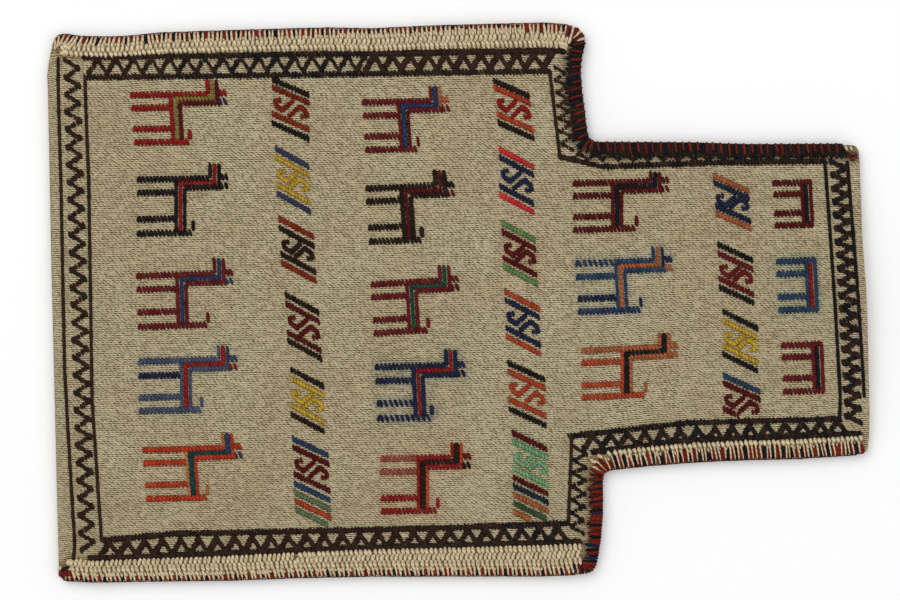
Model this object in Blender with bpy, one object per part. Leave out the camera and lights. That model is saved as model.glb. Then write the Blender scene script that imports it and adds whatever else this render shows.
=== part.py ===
"""Flat-woven neck bag: one folded cloth, its seam bindings and its raised wool wrapping.

Metres, +X towards the mouth, +Z up. The bag lies flat on its back wall.
Plan measures below are in millimetres from the middle of the plan and are scaled by MM.
"""

import math

import bmesh
import bpy
from mathutils import Vector
from mathutils.bvhtree import BVHTree
from mathutils.geometry import delaunay_2d_cdt

MM = 0.001

# Body and neck of the bag: corner points of the cloth, each with the radius of its rounding.
CLOTH_CORNERS = [
    (-269.8, 177.0, 9.0),
    (-253.0, 179.5, 60.0),
    (40.0, 186.5, 60.0),
    (92.0, 184.5, 12.0),
    (95.5, 107.5, 7.0),
    (200.0, 106.5, 40.0),
    (277.5, 106.5, 14.0),
    (283.2, 30.0, 60.0),
    (287.8, -85.0, 20.0),
    (286.4, -104.5, 5.0),
    (190.0, -107.5, 40.0),
    (105.0, -115.0, 6.0),
    (103.5, -160.0, 30.0),
    (96.5, -186.5, 14.0),
    (40.0, -188.0, 60.0),
    (-255.0, -191.0, 40.0),
    (-262.5, -190.0, 7.0),
]
FOLD_END = 16
MOUTH_START = 6
MOUTH_END = 9
ARC_STEPS = 3
OUTLINE_STEP = 28.0
RING_INSETS = (11.0, 26.0)
INNER_GRID = 34.0

# Cloth.
CLOTH_THICKNESS = 1.9
EDGE_GAP = 0.7
LOFT = 11.0
LOFT_REACH = 34.0
FOLD_HEAD_START = 24.0
EDGE_LIFT = 2.1
LIFT_FLAT = 11.0
LIFT_REACH = 15.0
WAVE_HEIGHT = 0.45
WAVE_LENGTH = 165.0

# Clearance between pieces that touch on the real bag.
CLEARANCE = 0.4
LEAST_CLEARANCE = 0.22

# Height from which the cloth's faces are probed, well clear of it.
PROBE_HEIGHT = 80.0

# Wool wrapping.
WRAP_HEIGHT = 0.95
RUN_WIDTH = 3.5
STRIPE_WIDTH = 2.4
TIP_REACH = 1.2

# Goats: from the body's first stripe to its middle and last stripes, from the back line to the neck's core
# and its lower line, from the first ear to the middle one and the last one, and where the muzzles end.
BODY_CORE = 2.9
BODY_SPAN = 5.9
NECK_CORE = 2.9
NECK_DROP = 5.9
NECK_REACH = 7.4
EAR_CORE = 3.1
EAR_SPAN = 6.2
MUZZLE_START = 6.6
MUZZLE_END = 12.4
LOW_MUZZLE_DROP = 5.4
TAIL_HEIGHT = 8.6

BORDER_HEIGHT = 0.9
MERGE_DISTANCE = 0.004
MERGE_ANGLE = math.radians(0.8)

# Bindings: how far they reach in over the cloth, and how far they stand out.
SELVEDGE_REACH = 12.6
SEAM_REACH = 9.5
BACK_REACH = 8.0
BINDING_OUT = 1.4
BINDING_STEP = 24.0

COLOURS = {
    "ground": (0.43, 0.35, 0.22),
    "cream": (0.60, 0.50, 0.30),
    "umber": (0.035, 0.022, 0.018),
    "navy": (0.022, 0.03, 0.085),
    "blue": (0.05, 0.11, 0.23),
    "slate": (0.07, 0.10, 0.17),
    "teal": (0.02, 0.09, 0.10),
    "green": (0.05, 0.20, 0.08),
    "mint": (0.19, 0.40, 0.22),
    "olive": (0.14, 0.12, 0.03),
    "maroon": (0.085, 0.012, 0.018),
    "red": (0.25, 0.02, 0.02),
    "pink": (0.48, 0.05, 0.08),
    "rust": (0.33, 0.06, 0.02),
    "orange": (0.50, 0.13, 0.05),
    "tan": (0.40, 0.19, 0.07),
    "gold": (0.50, 0.31, 0.04),
    "black": (0.012, 0.011, 0.014),
}

# Goats: tip of the upper leg (x, y), drops to the next three legs, where the first body stripe and the
# first ear stand, ear height, how far the lowest leg runs on as the tail, lean of the rows, rise of the
# runs, outline, core and muzzle colours.
GOATS = {
    "goat_a1": (-218.1, 140.4, 8.9, 14.4, 9.2, 27.7, 52.3, 10.3, 39.0, 0.10, 0.012, "red", "olive", "navy"),
    "goat_a2": (-213.7, 82.5, 9.1, 18.1, 9.9, 26.0, 49.3, 10.6, 38.3, 0.00, 0.015, "black", "red", "black"),
    "goat_a3": (-213.7, 16.4, 9.3, 15.6, 9.9, 28.0, 52.8, 12.1, 47.5, 0.03, 0.030, "maroon", "blue", "blue"),
    "goat_a4": (-212.4, -42.3, 9.8, 14.8, 9.2, 29.2, 54.1, 10.5, 42.9, 0.02, 0.028, "blue", "red", "red"),
    "goat_a5": (-209.4, -102.9, 8.9, 15.1, 9.5, 30.3, 54.1, 11.4, 43.6, 0.07, 0.029, "orange", "teal", "navy"),
    "goat_b1": (-59.2, 135.4, 9.1, 14.4, 9.2, 25.3, 46.2, 11.2, 38.0, 0.07, 0.020, "maroon", "navy", "orange"),
    "goat_b2": (-56.9, 76.3, 8.9, 17.9, 9.5, 25.6, 47.2, 12.5, 38.4, 0.07, 0.037, "umber", "maroon", "maroon"),
    "goat_b3": (-53.2, 10.5, 8.7, 15.7, 8.8, 24.8, 46.5, 13.4, 38.4, 0.06, 0.060, "maroon", "green", "maroon"),
    "goat_b4": (-50.3, -46.0, 9.5, 15.3, 10.3, 26.2, 48.9, 12.2, 38.2, 0.05, 0.021, "navy", "red", "navy"),
    "goat_b5": (-46.6, -108.8, 9.1, 18.1, 8.9, 25.1, 48.1, 10.8, 38.7, 0.01, 0.018, "red", "umber", "black"),
    "goat_c1": (85.4, 79.8, 8.6, 14.4, 8.9, 25.4, 52.3, 8.4, 42.3, 0.00, 0.030, "maroon", "navy", "maroon"),
    "goat_c2": (86.9, 24.9, 9.2, 14.9, 8.9, 28.5, 52.6, 12.3, 44.6, 0.06, 0.038, "blue", "orange", "orange"),
    "goat_c3": (91.0, -34.8, 8.5, 15.3, 8.2, 26.7, 52.9, 12.2, 42.6, 0.01, 0.048, "orange", "black", "orange"),
}

# Four-legged figures at the mouth: tip (x, y), three drops, first body stripe, lean, rise, colours.
FIGURES = {
    "figure_d1": (222.4, 80.1, 7.9, 13.0, 8.2, 18.9, 0.04, 0.030, "maroon", "black"),
    "figure_d2": (225.1, 26.9, 8.6, 15.6, 8.9, 19.6, 0.05, 0.030, "blue", "red"),
    "figure_d3": (228.8, -30.6, 8.2, 14.5, 9.0, 20.5, 0.05, 0.030, "maroon", "navy"),
}

# Hooked motifs: start of the top bar (x, y), drops of the next three bars, length, slope,
# lean of the bar starts, outer top, inner and outer bottom colours.
HOOKS = {
    "hook_a1": (-122.3, 151.4, 5.3, 18.3, 6.3, 26.0, 0.43, 0.00, "black", "red", "black"),
    "hook_a2": (-120.1, 104.1, 6.0, 18.7, 6.1, 23.8, 0.55, 0.04, "slate", "gold", "slate"),
    "hook_a3": (-117.5, 56.0, 6.5, 17.7, 6.1, 24.4, 0.53, 0.06, "rust", "black", "rust"),
    "hook_a4": (-113.2, 4.0, 6.3, 19.7, 5.6, 23.8, 0.54, 0.06, "umber", "maroon", "umber"),
    "hook_a5": (-109.3, -47.3, 6.2, 18.4, 6.2, 23.2, 0.52, 0.01, "umber", "gold", "umber"),
    "hook_a6": (-108.2, -94.8, 5.9, 18.3, 6.6, 25.2, 0.47, 0.04, "blue", "maroon", "blue"),
    "hook_b1": (29.2, 150.7, 4.8, 18.4, 5.8, 25.4, 0.44, 0.12, "orange", "maroon", "red"),
    "hook_b2": (33.6, 103.3, 5.3, 19.7, 5.9, 24.0, 0.52, 0.00, "pink", "navy", "pink"),
    "hook_b3": (34.9, 53.1, 6.0, 18.0, 6.1, 23.8, 0.52, 0.05, "green", "maroon", "green"),
    "hook_b4": (37.1, 6.0, 5.7, 19.0, 5.9, 24.4, 0.51, 0.03, "orange", "navy", "orange"),
    "hook_b5": (39.1, -42.9, 5.9, 19.0, 6.6, 26.2, 0.45, 0.03, "black", "orange", "black"),
    "hook_b6": (42.4, -90.8, 5.9, 18.3, 6.4, 24.6, 0.48, 0.02, "maroon", "mint", "maroon"),
    "hook_c1": (180.4, 85.3, 4.6, 16.1, 4.9, 24.8, 0.44, 0.06, "orange", "navy", "orange"),
    "hook_c2": (183.0, 38.3, 6.2, 17.2, 5.8, 24.6, 0.46, 0.03, "black", "red", "black"),
    "hook_c3": (186.5, -7.7, 6.3, 17.1, 5.6, 24.6, 0.49, 0.00, "black", "gold", "black"),
    "hook_c4": (186.9, -51.6, 5.3, 17.4, 0.0, 26.0, 0.44, 0.00, "blue", "maroon", "maroon"),
}
# Bars worked below the last hooked motif of a column: drop below its last bar, share of length, colour.
EXTRA_BARS = {
    "hook_a6": [(6.2, 1.0, "mint"), (12.0, 1.0, "rust"), (17.9, 0.84, "mint")],
    "hook_b6": [(5.8, 1.0, "navy"), (11.8, 1.0, "tan"), (17.8, 0.9, "green"), (23.6, 0.4, "tan")],
}
# The border cuts this inner bottom bar short.
LOW_BAR_SHARES = {"hook_c4": 0.45}

# Border: plain lines (each a chain of points) and the zigzags between them.
BORDER_LINES = [
    [(-269.5, 166.0), (-267.2, 82.0), (-264.5, -48.5), (-257.5, -168.5), (-259.0, -179.0)],
    [(-250.5, 153.0), (-247.7, 82.0), (-245.3, -68.5), (-239.0, -165.0)],
    [(-252.0, 166.5), (-100.0, 168.5), (78.0, 171.3)],
    [(-250.0, 152.7), (-100.0, 154.5), (68.5, 157.0)],
    [(68.5, 156.5), (75.5, 97.5)],
    [(75.3, 98.3), (105.0, 91.5), (180.0, 94.2), (257.8, 95.3)],
    [(257.4, 95.0), (267.5, -66.0), (267.5, -82.0)],
    [(273.0, 94.5), (284.0, -66.0)],
    [(81.8, -93.5), (164.0, -84.3), (267.6, -81.6)],
    [(97.8, -104.5), (162.0, -96.6), (281.5, -91.6)],
    [(83.6, -92.6), (81.3, -152.0)],
    [(-238.0, -165.0), (-189.0, -160.3), (-75.0, -158.2), (0.0, -156.2), (81.5, -153.2)],
    [(-247.0, -178.0), (-75.0, -170.8), (89.0, -166.2)],
]
# Each zigzag: its two ends on the middle line, half height, pitch.
ZIGZAGS = [
    ((-260.1, 160.0), (-248.3, -171.0), 5.4, 12.6),
    ((-246.0, 160.0), (72.0, 164.4), 4.4, 13.8),
    ((74.0, 160.0), (80.6, 99.5), 4.2, 13.0),
    ((84.0, 95.9), (250.0, 96.3), 1.5, 12.6),
    ((265.4, 95.0), (275.8, -84.0), 5.2, 9.4),
    ((92.0, -97.2), (272.0, -86.9), 3.6, 12.8),
    ((89.6, -103.0), (86.0, -160.0), 4.2, 12.6),
    ((-241.0, -171.6), (82.0, -160.4), 4.2, 13.8),
]
BORDER_LINE_WIDTH = 2.5
ZIGZAG_WIDTH = 2.1
ZIGZAG_REACH = 1.9
LINE_STEP = 26.0
MITRE_LIMIT = 0.62
BEND_REACH = 7.0
SETTLE_ROUNDS = 3


def clear_scene():
    """Take out whatever the file opened with."""
    for old in list(bpy.data.objects):
        bpy.data.objects.remove(old, do_unlink=True)


def make_material(name, colour, roughness=0.9):
    """A plain Principled material with one colour."""
    material = bpy.data.materials.new(name)
    material.use_nodes = True
    material.diffuse_color = (*colour, 1.0)
    shader = material.node_tree.nodes["Principled BSDF"]
    shader.inputs["Base Color"].default_value = (*colour, 1.0)
    shader.inputs["Roughness"].default_value = roughness
    shader.inputs["Metallic"].default_value = 0.0
    return material


def rounded_outline():
    """Corner points turned into a rounded outline, with the kind of edge each stretch belongs to."""
    count = len(CLOTH_CORNERS)
    points = []
    kinds = []
    for i, (x, y, radius) in enumerate(CLOTH_CORNERS):
        here = Vector((x, y))
        before = Vector(CLOTH_CORNERS[i - 1][:2])
        after = Vector(CLOTH_CORNERS[(i + 1) % count][:2])
        towards_before = (before - here).normalized()
        towards_after = (after - here).normalized()
        half_angle = towards_before.angle(towards_after) / 2.0
        reach = min(radius / math.tan(half_angle), 0.45 * (before - here).length, 0.45 * (after - here).length)
        start = here + towards_before * reach
        end = here + towards_after * reach
        for step in range(ARC_STEPS + 1):
            t = step / ARC_STEPS
            spot = start.lerp(here, t).lerp(here.lerp(end, t), t)
            points.append(spot)
            leaves_corner = step == ARC_STEPS or MOUTH_START < i < MOUTH_END
            kinds.append(i if leaves_corner else -1)
    return points, kinds


def split_outline(points, kinds):
    """Add points along the long straight stretches and say which of them lie on the fold and mouth."""
    spots = []
    labels = []
    count = len(points)
    for i, spot in enumerate(points):
        following = points[(i + 1) % count]
        label = "side"
        if kinds[i] == FOLD_END:
            label = "fold"
        elif MOUTH_START <= kinds[i] < MOUTH_END:
            label = "mouth"
        length = (following - spot).length
        pieces = max(1, round(length / OUTLINE_STEP))
        for k in range(pieces):
            spots.append(spot.lerp(following, k / pieces))
            labels.append(label)
    return spots, labels


def segment_distance(spot, a, b):
    """Distance from a point to a line segment in plan."""
    along = b - a
    share = max(0.0, min(1.0, (spot - a).dot(along) / along.length_squared))
    return (spot - (a + along * share)).length


class Plan:
    """The rounded outline of the cloth and the heights of its two walls."""

    def __init__(self):
        corners, kinds = rounded_outline()
        self.outline, self.labels = split_outline(corners, kinds)
        count = len(self.outline)
        self.sides = []
        self.folds = []
        for i in range(count):
            pair = (self.outline[i], self.outline[(i + 1) % count])
            if self.labels[i] == "fold":
                self.folds.append(pair)
            elif self.labels[i] == "side":
                self.sides.append(pair)

    def side_distance(self, spot):
        return min(segment_distance(spot, a, b) for a, b in self.sides)

    def fold_distance(self, spot):
        return min(segment_distance(spot, a, b) for a, b in self.folds)

    def lift(self, spot):
        """How far the back wall rises off the ground to leave room for the binding under its edge."""
        share = 1.0 - (self.side_distance(spot) - LIFT_FLAT) / LIFT_REACH
        share = max(0.0, min(1.0, share))
        return EDGE_LIFT * share * share * (3.0 - 2.0 * share)

    def gap(self, spot):
        """Room between the front and the back wall."""
        nearest = min(self.side_distance(spot), self.fold_distance(spot) + FOLD_HEAD_START)
        return EDGE_GAP + LOFT * (1.0 - math.exp(-nearest / LOFT_REACH))

    def front_top(self, spot):
        """Height of the outer face of the front wall."""
        side = self.side_distance(spot)
        settle = 1.0 - math.exp(-side / LOFT_REACH)
        turn = 2.0 * math.pi / WAVE_LENGTH
        wave = math.sin(turn * (spot.x + 0.4 * spot.y)) * math.cos(turn * (spot.y - 0.3 * spot.x) + 0.7)
        height = self.lift(spot) + 2.0 * CLOTH_THICKNESS + self.gap(spot)
        return height + WAVE_HEIGHT * settle * wave


def inset_ring(outline, depth):
    """The outline moved inwards, keeping only points that are really that far in."""
    ring = []
    count = len(outline)
    for i, spot in enumerate(outline):
        along = (outline[(i + 1) % count] - outline[i - 1]).normalized()
        moved = spot + Vector((along.y, -along.x)) * depth
        distance = min(segment_distance(moved, outline[k], outline[(k + 1) % count]) for k in range(count))
        if distance > depth * 0.93 and all((moved - other).length > 9.0 for other in ring):
            ring.append(moved)
    return ring


def inside(outline, spot):
    """True where a point lies inside the outline."""
    hit = False
    count = len(outline)
    for i in range(count):
        a = outline[i]
        b = outline[(i + 1) % count]
        if (a.y > spot.y) != (b.y > spot.y):
            if spot.x < a.x + (spot.y - a.y) * (b.x - a.x) / (b.y - a.y):
                hit = not hit
    return hit


def triangulate_plan(plan):
    """Triangles over the plan, with rings of points that follow the edge."""
    spots = list(plan.outline)
    count = len(spots)
    for depth in RING_INSETS:
        spots += inset_ring(plan.outline, depth)
    keep_off = RING_INSETS[-1] + 0.45 * INNER_GRID
    columns = int(600.0 / INNER_GRID)
    rows = int(400.0 / INNER_GRID)
    for i in range(columns + 1):
        for j in range(rows + 1):
            spot = Vector((-300.0 + i * INNER_GRID, -200.0 + j * INNER_GRID))
            if not inside(plan.outline, spot):
                continue
            edge = min(
                segment_distance(spot, plan.outline[k], plan.outline[(k + 1) % count]) for k in range(count)
            )
            if edge > keep_off:
                spots.append(spot)
    face = [list(range(count))[::-1]]
    result = delaunay_2d_cdt(spots, [], face, 1, 1e-4)
    return result[0], result[2], result[3]


def mesh_object(name, vertices, faces, materials, slots=None, smooth=True, merge_angle=0.0):
    """A named object from plan vertices in millimetres."""
    mesh = bpy.data.meshes.new(name)
    scaled = [(x * MM, y * MM, z * MM) for x, y, z in vertices]
    mesh.from_pydata(scaled, [], faces)
    for material in materials:
        mesh.materials.append(material)
    if slots:
        for polygon, slot in zip(mesh.polygons, slots):
            polygon.material_index = slot
    tidy = bmesh.new()
    tidy.from_mesh(mesh)
    loose = [vertex for vertex in tidy.verts if not vertex.link_faces]
    bmesh.ops.delete(tidy, geom=loose, context="VERTS")
    if merge_angle > 0.0:
        bmesh.ops.dissolve_limit(
            tidy,
            angle_limit=merge_angle,
            use_dissolve_boundaries=False,
            verts=tidy.verts,
            edges=tidy.edges,
            delimit={"MATERIAL"},
        )
        bmesh.ops.triangulate(tidy, faces=tidy.faces)
    bmesh.ops.recalc_face_normals(tidy, faces=tidy.faces)
    tidy.to_mesh(mesh)
    tidy.free()
    for polygon in mesh.polygons:
        polygon.use_smooth = smooth
    item = bpy.data.objects.new(name, mesh)
    bpy.context.scene.collection.objects.link(item)
    return item


def build_cloth(plan, materials):
    """One cloth folded at the closed end: front wall, fold and back wall, open along the sides and mouth."""
    spots, triangles, _ = triangulate_plan(plan)
    count = len(spots)
    top_outer = []
    top_inner = []
    back_inner = []
    back_outer = []
    for spot in spots:
        lift = plan.lift(spot)
        top = plan.front_top(spot)
        top_outer.append(top)
        top_inner.append(top - CLOTH_THICKNESS)
        back_inner.append(lift + CLOTH_THICKNESS)
        back_outer.append(lift)
    vertices = []
    for layer in (top_outer, top_inner, back_inner, back_outer):
        vertices += [(spot.x, spot.y, z) for spot, z in zip(spots, layer)]
    faces = []
    for a, b, c in triangles:
        faces.append((a, b, c))
        faces.append((count + c, count + b, count + a))
        faces.append((2 * count + a, 2 * count + b, 2 * count + c))
        faces.append((3 * count + c, 3 * count + b, 3 * count + a))
    edges = {}
    for triangle in triangles:
        for a, b in zip(triangle, triangle[1:] + triangle[:1]):
            key = (min(a, b), max(a, b))
            edges[key] = edges.get(key, 0) + 1
    rim = [key for key, uses in edges.items() if uses == 1]
    arcs = {}

    def is_fold(index):
        return plan.fold_distance(spots[index]) < 0.05

    def arc_points(index):
        """Rows of points round the fold, outside and inside the cloth."""
        if index in arcs:
            return arcs[index]
        spot = spots[index]
        rows = []
        for upper, lower in ((top_outer[index], back_outer[index]), (top_inner[index], back_inner[index])):
            middle = (upper + lower) / 2.0
            radius = (upper - lower) / 2.0
            row = []
            for step in (1, 2, 3):
                angle = math.pi * step / 4.0
                row.append(len(vertices))
                vertices.append((spot.x - radius * math.sin(angle), spot.y, middle + radius * math.cos(angle)))
            rows.append(row)
        arcs[index] = (
            [index] + rows[0] + [3 * count + index],
            [count + index] + rows[1] + [2 * count + index],
        )
        return arcs[index]

    uses_on_fold = {}
    for a, b in rim:
        if is_fold(a) and is_fold(b):
            outer_a, inner_a = arc_points(a)
            outer_b, inner_b = arc_points(b)
            for k in range(4):
                faces.append((outer_a[k], outer_b[k], outer_b[k + 1], outer_a[k + 1]))
                faces.append((inner_a[k + 1], inner_b[k + 1], inner_b[k], inner_a[k]))
            uses_on_fold[a] = uses_on_fold.get(a, 0) + 1
            uses_on_fold[b] = uses_on_fold.get(b, 0) + 1
        else:
            faces.append((a, b, count + b, count + a))
            faces.append((2 * count + a, 2 * count + b, 3 * count + b, 3 * count + a))
    for index, uses in uses_on_fold.items():
        if uses == 1:
            outer, inner = arcs[index]
            for k in range(4):
                faces.append((outer[k], outer[k + 1], inner[k + 1], inner[k]))
    return mesh_object("cloth", vertices, faces, [materials["ground"]])


class Surface:
    """Finds heights on the front and the back of the finished cloth."""

    def __init__(self, cloth):
        self.tree = BVHTree.FromPolygons(
            [vertex.co / MM for vertex in cloth.data.vertices],
            [polygon.vertices for polygon in cloth.data.polygons],
        )

    def front(self, x, y):
        hit = self.tree.ray_cast(Vector((x, y, PROBE_HEIGHT)), Vector((0.0, 0.0, -1.0)))
        return hit[0].z if hit[0] is not None else None

    def bend(self, x, y):
        """How far the front bulges above a short chord laid across this point."""
        here = self.front(x, y)
        most = 0.0
        for step_x, step_y in ((BEND_REACH, 0.0), (0.0, BEND_REACH)):
            ahead = self.front(x + step_x, y + step_y)
            behind = self.front(x - step_x, y - step_y)
            if ahead is not None and behind is not None:
                most = max(most, here - (ahead + behind) / 2.0)
        return most

    def back(self, x, y):
        hit = self.tree.ray_cast(Vector((x, y, -PROBE_HEIGHT)), Vector((0.0, 0.0, 1.0)))
        return hit[0].z if hit[0] is not None else None


def bar(a, b, width, slot):
    """A straight bar of wrapping from a to b: its corner points and its colour slot."""
    return strip([a, b], width, slot)


def strip(points, width, slot):
    """A bent run of wrapping along a chain of points: its corner points and its colour slot."""
    points = [Vector(point) for point in points]
    left = []
    right = []
    for i, point in enumerate(points):
        arriving = (point - points[i - 1]).normalized() if i > 0 else None
        leaving = (points[i + 1] - point).normalized() if i < len(points) - 1 else None
        arriving = arriving or leaving
        leaving = leaving or arriving
        across = Vector((-arriving.y, arriving.x))
        turned = (across + Vector((-leaving.y, leaving.x))).normalized()
        offset = turned * (width / 2.0) / max(MITRE_LIMIT, turned.dot(across))
        left.append(point + offset)
        right.append(point - offset)
    return right + left[::-1], slot


def build_relief(name, bars, colours, materials, surface, height):
    """Bars of wrapping joined into one flat raised body that follows the cloth."""
    spots = []
    loops = []
    for corners, _ in bars:
        loops.append(list(range(len(spots), len(spots) + len(corners))))
        spots += corners
    points, _, triangles, _, _, owners = delaunay_2d_cdt(spots, [], loops, 1, MERGE_DISTANCE)
    kept = [(triangle, owner) for triangle, owner in zip(triangles, owners) if owner]
    triangles = [triangle for triangle, _ in kept]
    owners = [owner for _, owner in kept]
    count = len(points)
    rim = {}
    for triangle in triangles:
        for a, b in zip(triangle, triangle[1:] + triangle[:1]):
            if (b, a) in rim:
                del rim[(b, a)]
            else:
                rim[(a, b)] = True
    vertices = []
    lows = []
    for point in points:
        base = surface.front(point.x, point.y) + CLEARANCE + 0.6 * surface.bend(point.x, point.y)
        vertices.append((point.x, point.y, base + height))
        lows.append((point.x, point.y, base))
    vertices += lows
    faces = []
    slots = []
    for triangle, owner in zip(triangles, owners):
        slot = bars[max(owner)][1]
        a, b, c = triangle
        faces.append((a, b, c))
        slots.append(slot)
        faces.append((count + c, count + b, count + a))
        slots.append(slot)
    for a, b in rim:
        faces.append((b, a, count + a, count + b))
        slots.append(0)
    colour_list = [materials[colour] for colour in colours]
    item = mesh_object(name, vertices, faces, colour_list, slots, False, MERGE_ANGLE)
    for _ in range(SETTLE_ROUNDS):
        settle(item, surface)
    return item


def settle(item, surface):
    """Raise the corners of any underside face that comes too close to the cloth between its corners."""
    shares = [(0.34, 0.33, 0.33), (0.5, 0.5, 0.0), (0.0, 0.5, 0.5), (0.5, 0.0, 0.5)]
    shares += [(0.75, 0.25, 0.0), (0.25, 0.75, 0.0), (0.0, 0.75, 0.25), (0.0, 0.25, 0.75)]
    shares += [(0.75, 0.0, 0.25), (0.25, 0.0, 0.75)]
    rises = {}
    for polygon in item.data.polygons:
        if polygon.normal.z > -0.3:
            continue
        corners = [item.data.vertices[index].co / MM for index in polygon.vertices]
        lack = 0.0
        for share in shares:
            spot = corners[0] * share[0] + corners[1] * share[1] + corners[2] * share[2]
            under = surface.front(spot.x, spot.y)
            if under is not None:
                lack = max(lack, under + LEAST_CLEARANCE - spot.z)
        for corner in corners:
            key = (round(corner.x, 2), round(corner.y, 2))
            rises[key] = max(rises.get(key, 0.0), lack)
    for vertex in item.data.vertices:
        key = (round(vertex.co.x / MM, 2), round(vertex.co.y / MM, 2))
        vertex.co.z += rises.get(key, 0.0) * MM


def local_frame(x, y, lean, rise):
    """Turns a figure's own measures (right, down) into plan points."""

    def place(right, down):
        return Vector((x + right + lean * down, y - down + rise * right))

    return place


def build_goat(name, values, materials, surface):
    """A goat seen from the side: four legs, two-colour body, neck, ears and muzzle."""
    x, y, drop_2, drop_3, drop_4, body, ear, ear_height, tail, lean, rise, outline, core, muzzle = values
    place = local_frame(x, y, lean, rise)
    leg_2 = drop_2
    leg_3 = leg_2 + drop_3
    leg_4 = leg_3 + drop_4
    foot = leg_4 + 0.6
    run = RUN_WIDTH
    stripe = STRIPE_WIDTH
    neck_end = ear + NECK_REACH
    body_core = body + BODY_CORE
    body_2 = body + BODY_SPAN
    ear_core = ear + EAR_CORE
    ear_2 = ear + EAR_SPAN
    low_muzzle = (ear + MUZZLE_START, ear + MUZZLE_END)
    bars = [
        bar(place(-TIP_REACH, 0.0), place(neck_end, 0.0), run, 0),
        bar(place(-TIP_REACH, leg_2), place(body + 0.4, leg_2), run, 0),
        bar(place(-TIP_REACH, leg_3), place(body + 0.4, leg_3), run, 0),
        bar(place(-TIP_REACH, leg_4), place(tail, leg_4), run, 0),
        bar(place(tail, leg_4 + 1.0), place(tail, leg_4 - TAIL_HEIGHT), stripe, 0),
        bar(place(body, 0.5), place(body, foot), stripe, 0),
        bar(place(body_2, NECK_DROP - 0.9), place(body_2, foot), stripe, 0),
        bar(place(body_2 - 1.1, NECK_DROP), place(neck_end + 0.6, NECK_DROP), run, 0),
        bar(place(ear, 1.0), place(ear, -ear_height), stripe, 0),
        bar(place(ear_2, NECK_DROP + 0.1), place(ear_2, -ear_height + 0.8), stripe, 0),
        bar(place(ear_2 - 0.2, -0.6), place(ear_2 + 5.8, -0.6), run, 0),
        bar(place(body_core, 1.6), place(body_core, leg_4 - 1.2), stripe + 1.0, 1),
        bar(place(body_core - 1.1, NECK_CORE), place(ear_core + 0.5, NECK_CORE), run - 0.6, 1),
        bar(place(ear_core, NECK_CORE + 0.7), place(ear_core, -ear_height + 0.5), stripe + 1.2, 1),
        bar(place(low_muzzle[0], LOW_MUZZLE_DROP), place(low_muzzle[1], LOW_MUZZLE_DROP), run, 2),
    ]
    return build_relief(name, bars, (outline, core, muzzle), materials, surface, WRAP_HEIGHT)


def build_figure(name, values, materials, surface):
    """The headless figure at the mouth: four legs against a two-colour body."""
    x, y, drop_2, drop_3, drop_4, body, lean, rise, outline, core = values
    place = local_frame(x, y, lean, rise)
    legs = (0.0, drop_2, drop_2 + drop_3, drop_2 + drop_3 + drop_4)
    end = legs[3] + 0.8
    bars = [bar(place(-TIP_REACH, leg), place(body + 0.4, leg), RUN_WIDTH, 0) for leg in legs]
    bars[0] = bar(place(-TIP_REACH, 0.0), place(body + 6.8, 0.0), RUN_WIDTH, 0)
    bars[3] = bar(place(-TIP_REACH, legs[3]), place(body + 6.8, legs[3]), RUN_WIDTH, 0)
    bars += [
        bar(place(body, -1.6), place(body, end), STRIPE_WIDTH, 0),
        bar(place(body + 5.8, -1.6), place(body + 5.8, end), STRIPE_WIDTH, 0),
        bar(place(body + BODY_CORE, 0.6), place(body + BODY_CORE, legs[3] - 0.8), STRIPE_WIDTH + 1.0, 1),
    ]
    return build_relief(name, bars, (outline, core), materials, surface, WRAP_HEIGHT)


def build_hook(name, values, materials, surface):
    """Four slanted bars with a hook on each of the two inner ones."""
    x, y, drop_2, drop_3, drop_4, length, slope, lean, top, inner, bottom = values
    place = local_frame(x, y, lean, -slope)
    level_2 = drop_2
    level_3 = level_2 + drop_3
    level_4 = level_3 + drop_4
    thick = RUN_WIDTH
    tie = 1.4
    near_end = length - 3.0
    upper_hook = [(14.6, level_2 + 1.0), (6.6, level_2 + 13.6), (1.2, level_2 + 11.4), (5.2, level_2 + 6.6)]
    lower_hook = [(8.0, level_3 - 0.6), (15.4, level_3 - 10.8), (23.2, level_3 - 10.4), (17.4, level_3 - 4.8)]
    bars = [
        bar(place(0.0, 0.0), place(length, 0.0), thick, 0),
        bar(place(0.0, level_2), place(length, level_2), thick, 1),
        bar(place(0.0, level_3), place(length * LOW_BAR_SHARES.get(name, 1.0), level_3), thick, 1),
        bar(place(near_end, 0.0), place(near_end, level_2), tie, 0),
        strip([place(*spot) for spot in upper_hook], thick - 0.6, 1),
        strip([place(*spot) for spot in lower_hook], thick - 0.6, 1),
        bar(place(1.8, level_2 + 11.0), place(1.8, level_3), tie, 1),
    ]
    last = level_3
    if drop_4 > 0.0:
        last = level_4
        bars.append(bar(place(0.0, level_4), place(length, level_4), thick, 2))
        bars.append(bar(place(near_end, level_3), place(near_end, level_4), tie, 2))
    colours = [top, inner, bottom]
    previous = last
    for drop, share, colour in EXTRA_BARS.get(name, []):
        colours.append(colour)
        level = last + drop
        reach = length * share
        bars.append(bar(place(0.0, level), place(reach, level), thick, len(colours) - 1))
        bars.append(bar(place(reach - 3.0, previous), place(reach - 3.0, level), tie, len(colours) - 1))
        previous = level
    return build_relief(name, bars, colours, materials, surface, WRAP_HEIGHT)


def zigzag_points(start, end, half_height, pitch):
    """Corner points of a zigzag along a line. Only the first and last two corners reach the border lines."""
    start = Vector(start)
    end = Vector(end)
    along = (end - start).normalized()
    across = Vector((-along.y, along.x)) * half_height
    steps = max(4, round((end - start).length / (pitch / 2.0)))
    points = []
    for i in range(steps + 1):
        side = across if i % 2 else -across
        if i < 2 or i > steps - 2:
            side = side * (1.0 + min(0.5, ZIGZAG_REACH / half_height))
        points.append(start.lerp(end, i / steps) + side)
    return points


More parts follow.
